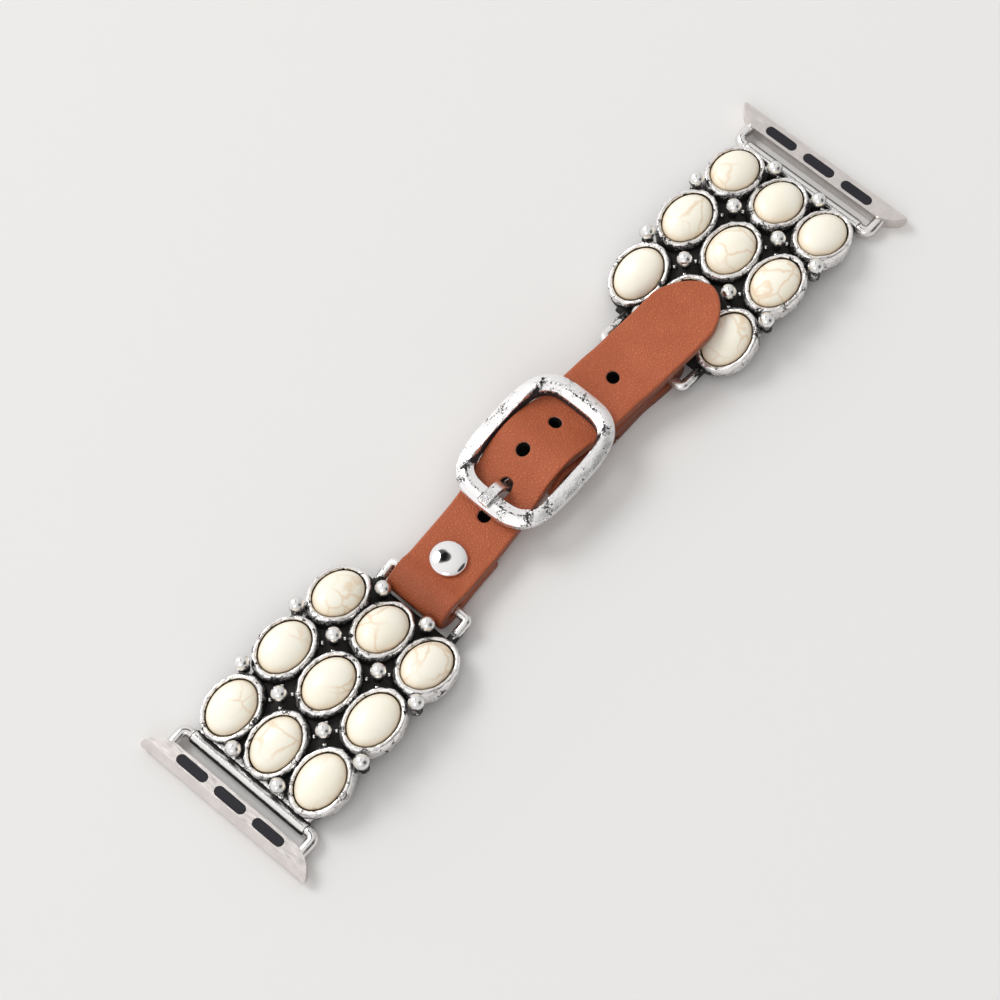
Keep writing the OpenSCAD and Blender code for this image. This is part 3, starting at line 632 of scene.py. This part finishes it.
def plate_route():
    def inner_end(run):
        return (ROW_X - MIDDLE_RADIUS * math.sin(ROW_ANGLE) - run * math.cos(ROW_ANGLE),
                ARCH_Z + MIDDLE_RADIUS * math.cos(ROW_ANGLE) - run * math.sin(ROW_ANGLE))

    turns = [ROW_ANGLE * i / 8 for i in range(-8, 9)]
    bend = [(ROW_X + MIDDLE_RADIUS * math.sin(t), ARCH_Z + MIDDLE_RADIUS * math.cos(t))
            for t in turns]
    return Route([inner_end(5.95)] + bend + [(PIN_X - 0.3, PIN_Z - 0.25)], 4)


def outside_plate(x, y):
    """Distance-like value of the scalloped outline, negative inside it."""
    def block(x0, x1, half):
        return max(x0 - x, x - x1, abs(y) - half)

    def oval(cx, cy, a, b):
        return (math.hypot((x - cx) / a, (y - cy) / b) - 1) * min(a, b)

    values = [block(ROW_X - ROW_PITCH, ROW_X + ROW_PITCH, 9.0),
              block(ROW_X - ROW_PITCH - 4.7, ROW_X, 7.5),
              block(ROW_X + ROW_PITCH, PIN_X - 0.2, 9.5)]
    for i, j in GRID:
        values.append(oval(ROW_X + i * ROW_PITCH * 0.955, j * COLUMN_PITCH, 4.6, 3.5))
    for i in (-0.5, 0.5):
        for j in (-1.35, 1.35):
            values.append(oval(ROW_X + i * ROW_PITCH * 0.96, j * COLUMN_PITCH, 0.8, 0.8))
    return min(values)


def trim_plate(bm, route):
    """Cuts a flat grid to the scalloped outline and draws its steps onto the line."""
    spots = {v: float(route.at(v.co.x)[0]) for v in bm.verts}
    gone = [f for f in bm.faces
            if outside_plate(sum(spots[v] for v in f.verts) / 4,
                             f.calc_center_median().y) > 0]
    bmesh.ops.delete(bm, geom=gone, context="FACES")
    lone = [v for v in bm.verts if not v.link_faces]
    bmesh.ops.delete(bm, geom=lone, context="VERTS")
    for v in bm.verts:
        if not v.is_boundary or v.co.x < 0.01 or v.co.x > route.length - 0.01:
            continue
        for _ in range(4):
            x, y = float(route.at(v.co.x)[0]), v.co.y
            f = outside_plate(x, y)
            gx = (outside_plate(x + FINE, y) - f) / FINE
            gy = (outside_plate(x, y + FINE) - f) / FINE
            size = max(0.2, gx * gx + gy * gy)
            v.co.x += max(-0.3, min(0.3, -f * gx / size))
            v.co.y += max(-0.3, min(0.3, -f * gy / size))
            v.co.x = min(route.length, max(0.0, v.co.x))


def panel_plate():
    """Arched plate with a scalloped edge and a cast surface."""
    route = plate_route()
    bm = bmesh.new()
    bmesh.ops.create_grid(bm, x_segments=int(route.length / 0.28), y_segments=84, size=1)
    for v in bm.verts:
        v.co = ((v.co.x + 1) / 2 * route.length, v.co.y * 11.9, 0)
    trim_plate(bm, route)

    def relief(x, y, up):
        return rough((x, y, 0), 0.55, 0.07, 9) + rough((x, y, 0), 1.7, 0.05, 4) if up else 0.0

    thicken(bm, route, PLATE / 2, 0.3, lift=relief)
    shade, edge = layer(bm), layer(bm, "edge")
    for v in bm.verts:
        bright = ease(53.9, 54.9, v.co.x) * ease(0.6, 1.2, v.co.z)
        flank = v[edge] * ease(7.4, 8.4, abs(v.co.y))
        v[shade] = min(1.0 - 0.75 * bright, 1.0 - 0.5 * flank)
    return bm


def cup(bm, shade, place, seed, column):
    """One hand-worked cup wall with a rounded rim and a wider foot."""
    start = len(bm.verts)

    def spot(turn, level):
        out, z, _ = level
        a, b = SEAT_A + out, SEAT_B + out * 0.84
        p = Vector((a * math.cos(turn), b * math.sin(turn), z))
        if out > 0.05:
            wave = rough((p.x, p.y, p.z), 1.1, 0.15, seed) + rough(p, 0.45, 0.09, seed + 7)
            wave = min(wave * ease(0.05, 0.5, out), 0.06)
            p.x += wave * math.cos(turn)
            p.y += wave * math.sin(turn)
            dents = rough(p, 0.8, 0.13, seed + 3) + rough(p, 0.35, 0.05, seed)
            p.z += dents * ease(1.6, 2.6, z)
        return place @ p

    stack_rings(bm, CUP_WALL, CUP_STEPS, spot)
    bm.verts.ensure_lookup_table()
    for k, v in enumerate(bm.verts[start:]):
        out, z, dark = CUP_WALL[k // CUP_STEPS]
        turn = 2 * math.pi * (k % CUP_STEPS) / CUP_STEPS
        open_side = ease(0.1, 0.6, column * math.sin(turn))
        v[shade] = between(dark, min(dark, 0.16), open_side * (out > 0.5))
        if out > 0.1:
            v[shade] += max(0.0, rough(v.co, 1.3, 0.45, seed))


def panel_cups(side):
    bm, shade = shaded_mesh()
    for i, j in GRID:
        seed = 11 * i + 5 * j + (40 if side < 0 else 0)
        cup(bm, shade, on_panel(i, 0, j * COLUMN_PITCH), seed, j)
    return bm


def ball(bm, shade, place, seed, stem_shade):
    """Cast ball on its stem."""
    made = bmesh.ops.create_icosphere(bm, subdivisions=4, radius=BALL_R)["verts"]
    for v in made:
        local = v.co.copy()
        grow = 1 + rough(local, 0.8, 0.03, seed)
        v.co = place @ (local * min(1.0, grow) + Vector((0, 0, BALL_Z)))
        # Darker towards the base: patina there, and painted shade on the underside.
        v[shade] = between(0.8, 0.06, ease(-0.5, 0.7, local.z))
    stem = bmesh.ops.create_cone(bm, segments=24, radius1=0.7, radius2=0.6, depth=2.6,
                                 cap_ends=True)["verts"]
    for v in stem:
        v.co = place @ (v.co + Vector((0, 0, 1.6)))
        v[shade] = stem_shade


def granule(bm, shade, place, spot):
    """Small cast grain on the plate."""
    grain = bmesh.ops.create_icosphere(bm, subdivisions=3, radius=GRANULE_R)["verts"]
    for v in grain:
        # Darker lower half: patina there, and painted shade on the underside.
        v[shade] = 0.5 * (1 - ease(-0.1, 0.1, v.co.z))
        v.co = place @ (v.co + spot)


def panel_balls(side):
    """Cast balls on stems, with small granules round the inner four."""
    bm, shade = shaded_mesh()
    inner = [(i, 0, j) for i in (-0.5, 0.5) for j in (-1.35, -0.5, 0.5, 1.35)]
    ends = [(k, r, j) for k, r in ((1, 3.85), (-1, -4.3)) for j in (-0.5, 0.5)]
    for n, (row, run, j) in enumerate(inner + ends):
        ball(bm, shade, on_panel(row, run, j * COLUMN_PITCH), n + side,
             1.0 if abs(j) < 1 else 0.55)
    around = [Vector((k * 1.2, m * 0.9, PLATE + 0.2)) for k in (-1, 1) for m in (-1, 1)]
    for row in (-0.5, 0.5):
        for j in (-0.5, 0.5):
            for spot in around:
                granule(bm, shade, on_panel(row, 0, j * COLUMN_PITCH), spot)
    return bm


def loop_path():
    """Middle of the wire: leg, square corner, bar, square corner, leg."""
    leg = Vector((26.0, 0, 1.4)) - Vector((LOOP_X, 0, LOOP_Z))
    y0, y1 = LOOP_Y - LEG_Y, LOOP_Y + LEG_Y
    corner = 0.55
    bar = Vector((LOOP_X, 0, LOOP_Z))
    ahead = leg.normalized()
    turns = [math.radians(90 * t / 7) for t in range(8)]

    def bend(y, way):
        centre = bar + ahead * corner + Vector((0, y + way * corner, 0))
        return [centre - ahead * corner * math.sin(t)
                - Vector((0, way * corner * math.cos(t), 0)) for t in turns]

    straight = [bar + Vector((0, between(y0 + corner, y1 - corner, t / 24), 0))
                for t in range(1, 24)]
    return ([bar + leg + Vector((0, y0, 0))] + bend(y0, 1) + straight + bend(y1, -1)[::-1]
            + [bar + leg + Vector((0, y1, 0))])


def panel_loop(side):
    """Rough square-cornered wire loop that carries the leather."""
    bm, shade = shaded_mesh()
    sweep(bm, loop_path(), round_section(LOOP_R, 28))
    for v in bm.verts:
        v.co.z += rough(v.co, 1.2, 0.05, 6)
        if side > 0:
            reach = ease(4.4, 5.3, v.co.y) * (1 - ease(LOOP_X, 26, v.co.x))
            v.co.x -= 1.1 * reach
        # Darker underneath: patina there, and painted shade under the wire.
        v[shade] = between(0.8, 0.14, ease(LOOP_Z - 0.35, LOOP_Z + 0.2, v.co.z))
    return bm


def panel_barrel():
    """Hinge barrel with its bore and rounded ends."""
    half = BARREL_HALF
    outer = [(1.0 + rough((0, y, 0), 1.5, 0.02, 2) - 0.02, y)
             for y in [-half + 2 * half * k / 48 for k in range(49)]]
    profile = ([(0.55, -9.6), (0.62, -9.7), (0.86, -9.7), (0.96, -9.64)] + outer
               + [(0.96, 9.64), (0.86, 9.7), (0.62, 9.7), (0.55, 9.6)])
    bm, shade = shaded_mesh()
    turn_profile(bm, profile, (PIN_X, 0, PIN_Z), (0, 1, 0), 40)
    for v in bm.verts:
        # Painted shade: darker underneath, and dark lines along the side towards the cups and
        # the side towards the adapter, where the gaps lie in shade.
        low = between(0.7, 0.0, ease(PIN_Z - 0.4, PIN_Z + 0.5, v.co.z))
        dark = max(1 - ease(PIN_X - 0.8, PIN_X - 0.35, v.co.x),
                   0.9 * ease(PIN_X + 0.6, PIN_X + 0.85, v.co.x))
        v[shade] = max(low, dark)
    return bm


def cabochon(place):
    """One oval stone with a domed top."""
    girdle = 0.95
    dome = [(math.cos(t), girdle + (STONE_HEIGHT - girdle) * math.sin(t)) for t in quarter(22)]
    profile = [(0, 0), (0.97, 0), (1.0, 0.04), (1.0, 0.6)] + dome + [(0, STONE_HEIGHT)]
    bm, shade = shaded_mesh()
    turn_profile(bm, profile, (0, 0, 0), (0, 0, 1), 72)
    for v in bm.verts:
        local = v.co.copy()
        # Higher towards the girdle; the stone's material paints shade from it.
        v[shade] = 1 - ease(1.2, 2.4, local.z)
        v.co = place @ Vector((local.x * STONE_A, local.y * STONE_B, local.z + PLATE))
    return bm


def panel(side, materials):
    """One panel's castings and its nine stones."""
    word = "right" if side > 0 else "left"
    body = word + "_panel"
    for part, bm, finish, nodes, sharp in [
            ("plate", panel_plate(), "antique_silver", [body + "_casting"], 60),
            ("bezels", panel_cups(side), "antique_silver", (), 70),
            ("balls", panel_balls(side), "ball_silver", (), 70),
            ("loop", panel_loop(side), "ball_silver", (), 60),
            ("barrel", panel_barrel(), "ball_silver", (), 60)]:
        make_piece(f"{body}_{part}", bm, body, materials[finish], nodes,
                   side, sharp)
    for n, (i, j) in enumerate(GRID, 1):
        make_piece(f"{word}_cabochon_{n}", cabochon(on_panel(i, 0, j * COLUMN_PITCH)), body,
                   materials["howlite"], [f"{word}_stone_{n}"], side)


# Material nodes.

def link(tree, a, b):
    """Sets a socket to a number or colour, or joins another socket to it."""
    if isinstance(a, (int, float, tuple)):
        b.default_value = a
    else:
        tree.links.new(a, b)


def add(tree, kind, inputs=(), **settings):
    """Outputs of a new node, with its settings made and its inputs set or joined."""
    node = tree.nodes.new("ShaderNode" + kind)
    for name, value in settings.items():
        setattr(node, name, value)
    for name, value in dict(inputs).items():
        link(tree, value, node.inputs[name])
    return node.outputs


def calc(tree, operation, a, b):
    return add(tree, "Math", {0: a, 1: b}, operation=operation)[0]


def times(tree, a, b):
    return calc(tree, "MULTIPLY", a, b)


def plus(tree, a, b):
    return calc(tree, "ADD", a, b)


def minus(tree, a, b):
    return calc(tree, "SUBTRACT", a, b)


def spread(tree, value, low, high, out_low=0.0, out_high=1.0):
    """Soft step of a value between two limits."""
    return add(tree, "MapRange", enumerate((value, low, high, out_low, out_high)),
               interpolation_type="SMOOTHSTEP")[0]


def blend_colours(tree, share, a, b):
    a, b = [(*c, 1) if isinstance(c, tuple) else c for c in (a, b)]
    return add(tree, "Mix", {0: share, 6: a, 7: b}, data_type="RGBA")[2]


def dimmed(colour, share):
    return tuple(c * share for c in colour)


def cloud(tree, scale, detail, roughness, where, twist=0.0, output="Fac"):
    return add(tree, "TexNoise", {"Vector": where, "Scale": scale, "Detail": detail,
                                  "Roughness": roughness, "Distortion": twist})[output]


def cell_walls(tree, scale, where):
    """Distance from the walls between uneven cells."""
    return add(tree, "TexVoronoi", {"Vector": where, "Scale": scale},
               feature="DISTANCE_TO_EDGE")["Distance"]


def object_place(tree, stretch=(1, 1, 1)):
    place = add(tree, "TexCoord")["Object"]
    return add(tree, "Mapping", {"Vector": place, "Scale": stretch})["Vector"]


def mark(tree, name):
    """A value that the mesh keeps at its vertices."""
    return add(tree, "Attribute", attribute_name=name)["Fac"]


def new_group(name, inputs, outputs):
    tree = bpy.data.node_groups.new(name, "ShaderNodeTree")
    for label, value in inputs:
        socket = tree.interface.new_socket(label, in_out="INPUT", socket_type="NodeSocketFloat")
        socket.default_value = value
    for label in outputs:
        tree.interface.new_socket(label, in_out="OUTPUT", socket_type="NodeSocketFloat")
    tree.nodes.new("NodeGroupInput")
    tree.nodes.new("NodeGroupOutput")
    return tree, tree.nodes["Group Input"].outputs, tree.nodes["Group Output"].inputs


def pebble_group():
    """Fine pebble grain with soft blotches."""
    tree, inputs, outputs = new_group("pebble grain", [("Scale", 2600.0)],
                                      ["Height", "Tone", "Blotch"])
    place = object_place(tree)
    pebble = spread(tree, cell_walls(tree, inputs["Scale"], place), 0.0, 0.35)
    fine = cloud(tree, times(tree, inputs["Scale"], 1.7), 4.0, 0.6, place)
    wide = cloud(tree, 900.0, 3.0, 0.55, place)
    height = plus(tree, times(tree, pebble, 0.6), plus(tree, fine, wide))
    link(tree, height, outputs["Height"])
    link(tree, times(tree, fine, pebble), outputs["Tone"])
    link(tree, spread(tree, cloud(tree, 130.0, 4.0, 0.6, place), 0.3, 0.7), outputs["Blotch"])
    return tree


def tarnish_and_shade_group():
    """Dark tarnish that gathers where the shade is high, with scattered pits; on some pieces the
    same mask is painted shade.
    """
    tree, inputs, outputs = new_group(
        "tarnish", [("Shade", 0.0), ("Scale", 1200.0), ("Specks", 0.3)], ["Mask", "Height"])
    place = object_place(tree)
    broad = cloud(tree, inputs["Scale"], 5.0, 0.65, place, 0.6)
    fine = cloud(tree, times(tree, inputs["Scale"], 3.1), 3.0, 0.6, place)
    ragged = plus(tree, times(tree, broad, 0.7), times(tree, fine, 0.3))
    level = minus(tree, 0.76, times(tree, inputs["Shade"], 0.46))
    level = minus(tree, level, times(tree, inputs["Specks"], 0.12))
    link(tree, spread(tree, ragged, level, plus(tree, level, 0.09)), outputs["Mask"])
    link(tree, plus(tree, broad, times(tree, fine, 0.5)), outputs["Height"])
    return tree


def new_material(name, colour, metallic, roughness, gloss=0.5):
    material = bpy.data.materials.new(name)
    material.use_nodes = True
    material.diffuse_color = (*colour, 1)
    shader = material.node_tree.nodes["Principled BSDF"].inputs
    for label, value in (("Base Color", (*colour, 1)), ("Metallic", metallic),
                         ("Roughness", roughness), ("Specular IOR Level", gloss)):
        shader[label].default_value = value
    return material, material.node_tree, shader


def relief_on(tree, shader, height, depth, strength):
    bump = add(tree, "Bump", {"Strength": strength, "Distance": depth, "Height": height})
    link(tree, bump["Normal"], shader["Normal"])


def leather_material(name, groups, light, dark, cut):
    """Saddle leather with pebble grain, soft blotches and darker cut edges, with painted shade
    in the holes and towards the fold and a painted highlight round each hole's rim.
    """
    m, tree, shader = new_material(name, light, 0.0, 0.5, 0.32)
    grain = add(tree, "Group", {"Scale": 2400.0}, node_tree=groups["pebble"])
    colour = blend_colours(tree, times(tree, grain["Blotch"], 0.6), light, dark)
    pores = spread(tree, grain["Tone"], 0.05, 0.4, 0.32, 0.0)
    colour = blend_colours(tree, pores, colour, dimmed(dark, 0.6))
    # Darker towards the fold at the loop: painted shade where the strap curves down.
    fold_shade = times(tree, mark(tree, "bend"), 0.65)
    colour = blend_colours(tree, fold_shade, colour, dimmed(dark, 0.5))
    side = spread(tree, mark(tree, "edge"), 0.55, 1.0, 0.0, 0.85)
    colour = blend_colours(tree, side, colour, cut)
    # Greyish ring round each hole's rim: a painted highlight on the hole's wall.
    hole_rim_highlight = spread(tree, mark(tree, "hole"), 0.3, 0.7, 0.0, 0.45)
    colour = blend_colours(tree, hole_rim_highlight, colour, (0.30, 0.22, 0.17))
    # Near-black inside the holes and on the leather under them: painted shade.
    inside = spread(tree, mark(tree, "hole"), 0.85, 0.97)
    inside = calc(tree, "MAXIMUM", inside, mark(tree, "under_hole_shade"))
    colour = blend_colours(tree, inside, colour, (0.004, 0.004, 0.004))
    link(tree, colour, shader["Base Color"])
    dull = spread(tree, grain["Blotch"], 0.0, 1.0, 0.4, 0.52)
    link(tree, spread(tree, inside, 0.0, 1.0, dull, 1.0), shader["Roughness"])
    relief_on(tree, shader, grain["Height"], 0.00008, 1.0)
    return m


def silver_material(name, groups, bright, dark, scale, specks, polish, depth):
    """Cast silver with tarnish in the low places, and painted shade where a piece's shade value
    puts it.
    """
    m, tree, shader = new_material(name, bright, 1.0, polish, 0.25)
    worn = add(tree, "Group", {"Shade": mark(tree, "shade"), "Scale": scale,
                               "Specks": specks}, node_tree=groups["tarnish"])
    link(tree, blend_colours(tree, worn["Mask"], bright, dark), shader["Base Color"])
    link(tree, spread(tree, worn["Mask"], 0.0, 1.0, polish, 0.5), shader["Roughness"])
    link(tree, spread(tree, worn["Mask"], 0.0, 1.0, 1.0, 0.2), shader["Metallic"])
    relief_on(tree, shader, minus(tree, worn["Height"], worn["Mask"]), depth, 0.8)
    return m


def steel_material(name, colour, polish, brush, depth):
    """Steel with fine lines across the band."""
    m, tree, shader = new_material(name, colour, 1.0, polish)
    lines = cloud(tree, 1.0, 4.0, 0.6, object_place(tree, (brush * 6, brush, brush * 6)))
    soft = cloud(tree, 500.0, 3.0, 0.5, object_place(tree))
    tone = spread(tree, plus(tree, times(tree, lines, 0.5), soft), 0.5, 1.1)
    link(tree, blend_colours(tree, tone, dimmed(colour, 0.86), colour), shader["Base Color"])
    link(tree, spread(tree, lines, 0.3, 0.7, polish - 0.05, polish + 0.1),
         shader["Roughness"])
    relief_on(tree, shader, lines, depth, 0.5)
    return m


def bent_place(tree, place):
    """Object place pushed about a little, so that lines on it wander."""
    push = cloud(tree, 260.0, 3.0, 0.5, place, output="Color")
    push = add(tree, "VectorMath", {0: push, "Scale": 0.003}, operation="SCALE")[0]
    return add(tree, "VectorMath", {0: place, 1: push}, operation="ADD")[0]


def howlite_material():
    """Cream stone with a few soft tan veins and a random tan wash, and painted shade: warm edges
    towards the girdle and a dark ring where it meets its cup.
    """
    m, tree, shader = new_material("cream_stone", (0.95, 0.92, 0.82), 0.0, 0.3)
    place = object_place(tree)
    walls = cell_walls(tree, 270.0, bent_place(tree, place))
    vein = spread(tree, walls, 0.0, 0.07, 1.0, 0.0)
    where = spread(tree, cloud(tree, 75.0, 2.0, 0.5, place), 0.5, 0.62)
    vein = times(tree, vein, where)
    wash = spread(tree, cloud(tree, 170.0, 4.0, 0.6, place), 0.45, 0.8, 0.0, 0.45)
    colour = blend_colours(tree, wash, (0.985, 0.945, 0.82), (0.95, 0.83, 0.62))
    # Warmer towards the girdle: painted shade on the dome's sides.
    rim = times(tree, mark(tree, "shade"), 0.75)
    colour = blend_colours(tree, rim, colour, (0.90, 0.70, 0.45))
    colour = blend_colours(tree, times(tree, vein, 0.55), colour, (0.80, 0.54, 0.31))
    # Dark brown ring at the girdle, where the stone meets its cup: painted shade.
    low = spread(tree, mark(tree, "shade"), 0.9, 1.0, 0.0, 0.7)
    colour = blend_colours(tree, low, colour, (0.25, 0.15, 0.08))
    link(tree, colour, shader["Base Color"])
    link(tree, spread(tree, vein, 0.0, 1.0, 0.3, 0.42), shader["Roughness"])
    relief_on(tree, shader, minus(tree, 1.0, vein), 0.00002, 0.3)
    return m


def insert_material():
    """Black moulded insert with a faint satin texture."""
    m, tree, shader = new_material("black_moulding", (0.012, 0.012, 0.017), 0.0, 0.4, 0.3)
    fine = cloud(tree, 4200.0, 3.0, 0.6, object_place(tree))
    colour = blend_colours(tree, fine, (0.008, 0.008, 0.012), (0.020, 0.019, 0.026))
    link(tree, colour, shader["Base Color"])
    link(tree, spread(tree, fine, 0.3, 0.7, 0.36, 0.5), shader["Roughness"])
    relief_on(tree, shader, fine, 0.00001, 0.5)
    return m


def make_materials():
    groups = {"pebble": pebble_group(), "tarnish": tarnish_and_shade_group()}
    black = (0.020, 0.018, 0.017)
    return {
        "leather": leather_material("saddle_leather", groups, (0.54, 0.132, 0.052),
                                    (0.42, 0.096, 0.034), (0.21, 0.056, 0.025)),
        "leather_under": leather_material("saddle_leather_under", groups, (0.40, 0.095, 0.038),
                                          (0.29, 0.066, 0.026), (0.13, 0.034, 0.015)),
        "antique_silver": silver_material("cast_antique_silver", groups, (0.93, 0.91, 0.90),
                                          black, 1900.0, 1.05, 0.24, 0.00006),
        "ball_silver": silver_material("cast_silver_balls", groups, (0.86, 0.85, 0.84),
                                       black, 1700.0, 0.8, 0.22, 0.00003),
        "buckle_silver": silver_material("bright_cast_silver", groups, (0.97, 0.96, 0.96),
                                         (0.03, 0.028, 0.032), 2700.0, 0.9, 0.26, 0.00004),
        "rivet_chrome": silver_material("rivet_mirror", groups, (0.92, 0.90, 0.91),
                                        (0.12, 0.11, 0.11), 900.0, 0.0, 0.06, 0.000004),
        "howlite": howlite_material(),
        "steel_satin": steel_material("satin_steel", (0.80, 0.75, 0.725), 0.36, 700.0, 0.00001),
        "steel_bright": steel_material("bright_steel", (0.90, 0.88, 0.87), 0.18, 500.0,
                                       0.000005),
        "spring_steel": steel_material("spring_steel", (0.62, 0.62, 0.64), 0.3, 600.0,
                                       0.000005),
        "black_insert": insert_material(),
    }


def dress_nodes(materials):
    """Finishes for the parts that are shown as they come from model.glb."""
    # Endings of the nodes' names, their finish, and the width of their softened edges.
    finishes = [("adapter_body", "steel_satin", 0.12), ("lock_cover", "steel_satin", 0.08),
                (("adapter_lugs", "hinge_pin"), "steel_bright", 0.08),
                (("adapter_inserts", "lock_button"), "black_insert", 0.08),
                ("lock_spring", "spring_steel", 0.08),
                (("rivet_base", "rivet_bases", "flat_rivet_caps"), "steel_satin", 0)]
    for name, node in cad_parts.items():
        for ending, finish, width in finishes:
            if name.endswith(ending):
                node.data.materials.clear()
                node.data.materials.append(materials[finish])
                if width:
                    soften(node, width)


def soften(node, width):
    """Small rounded edges."""
    weld = node.modifiers.new("weld", "WELD")
    weld.merge_threshold = 1e-6
    bevel = node.modifiers.new("soft edges", "BEVEL")
    bevel.width = width * MM
    bevel.segments = 2
    bevel.limit_method = "ANGLE"
    bevel.angle_limit = math.radians(25)
    bevel.use_clamp_overlap = True


# Floor, lights and camera.

def make_floor():
    bm = bmesh.new()
    bmesh.ops.create_grid(bm, x_segments=1, y_segments=1, size=3.0)
    mesh = bpy.data.meshes.new("floor")
    bm.to_mesh(mesh)
    bm.free()
    floor = bpy.data.objects.new("floor", mesh)
    floor.location.z = -0.00002
    bpy.context.scene.collection.objects.link(floor)
    mesh.materials.append(new_material("pale_floor", (0.80, 0.79, 0.78), 0.0, 0.9, 0.1)[0])


def make_light(name, place, size, power):
    data = bpy.data.lights.new(name, "AREA")
    data.shape = "DISK"
    data.size = size
    data.energy = power
    lamp = bpy.data.objects.new(name, data)
    lamp.location = place
    lamp.rotation_mode = "QUATERNION"
    lamp.rotation_quaternion = (-Vector(place)).to_track_quat("-Z", "Y")
    bpy.context.scene.collection.objects.link(lamp)


def make_world():
    """Soft bright surroundings with dark cards for the polished metal."""
    world = bpy.data.worlds.new("studio")
    bpy.context.scene.world = world
    world.use_nodes = True
    tree = world.node_tree
    place = add(tree, "TexCoord")["Generated"]

    def facing(direction):
        ends = {0: place, 1: tuple(Vector(direction).normalized())}
        return add(tree, "VectorMath", ends, operation="DOT_PRODUCT")["Value"]

    level = spread(tree, facing((-0.35, 0.7, 0.55)), -0.75, 0.95, 0.55, 0.95)
    # Direction of each dark card, and the cosines at its full dark and at its rim.
    for direction, inner, outer in [((0.09, 0.50, 0.86), 0.975, 0.945),
                                    ((0.18, 0.33, 0.93), 0.99, 0.975),
                                    ((0.27, -0.79, 0.55), 0.955, 0.915)]:
        card = spread(tree, facing(direction), outer, inner, 1.0, 0.1)
        level = times(tree, level, card)
    background = tree.nodes["Background"].inputs
    background["Color"].default_value = (1.0, 0.99, 0.98, 1)
    link(tree, level, background["Strength"])


def make_camera():
    """Camera at the photograph's angle, for a square picture."""
    turn, height, roll = (math.radians(a) for a in (-45.223, 67.037, -4.249))
    place = Vector((-124.358, -116.386, 395.204)) * MM
    sensor, focal_pixels, picture_pixels = 36.0, 3246.362, 1000
    back = Vector((math.sin(turn) * math.cos(height), -math.cos(turn) * math.cos(height),
                   math.sin(height)))
    right = Vector((math.cos(turn), math.sin(turn), 0))
    up = back.cross(right)
    across = right * math.cos(roll) + up * math.sin(roll)
    above = up * math.cos(roll) - right * math.sin(roll)
    data = bpy.data.cameras.new("camera")
    data.sensor_width = sensor
    data.lens = sensor * focal_pixels / picture_pixels
    data.clip_start, data.clip_end = 0.01, 20.0
    camera = bpy.data.objects.new("camera", data)
    camera.matrix_world = (Matrix.Translation(place)
                           @ Matrix((across, above, back)).transposed().to_4x4())
    bpy.context.scene.collection.objects.link(camera)
    bpy.context.scene.camera = camera


def make_studio():
    bpy.context.scene.view_settings.view_transform = "Standard"
    make_floor()
    make_world()
    make_light("key", (-0.12, 0.96, 1.15), 0.75, 8.5)
    make_light("fill", (-0.9, -0.4, 0.8), 0.6, 1.0)
    make_camera()


def main():
    materials = make_materials()
    for name, bm, body, finish, node, sharp in [
            ("leather_long_strap", long_strap(), "long_strap", "leather", "long_strap", 60),
            ("leather_short_strap", short_strap(), "short_strap", "leather_under",
             "short_strap", 60),
            ("buckle_cast_frame", buckle_frame(), "buckle", "buckle_silver", "buckle_frame", 28),
            ("buckle_bent_prong", buckle_prong(), "prong", "buckle_silver", "buckle_prong", 28),
            ("strap_domed_rivet", rivet_cap(), "long_strap", "rivet_chrome", "strap_rivet_cap",
             60)]:
        make_piece(name, bm, body, materials[finish], [node], sharp=sharp)
    for side in (-1, 1):
        panel(side, materials)
    dress_nodes(materials)
    make_studio()


main()
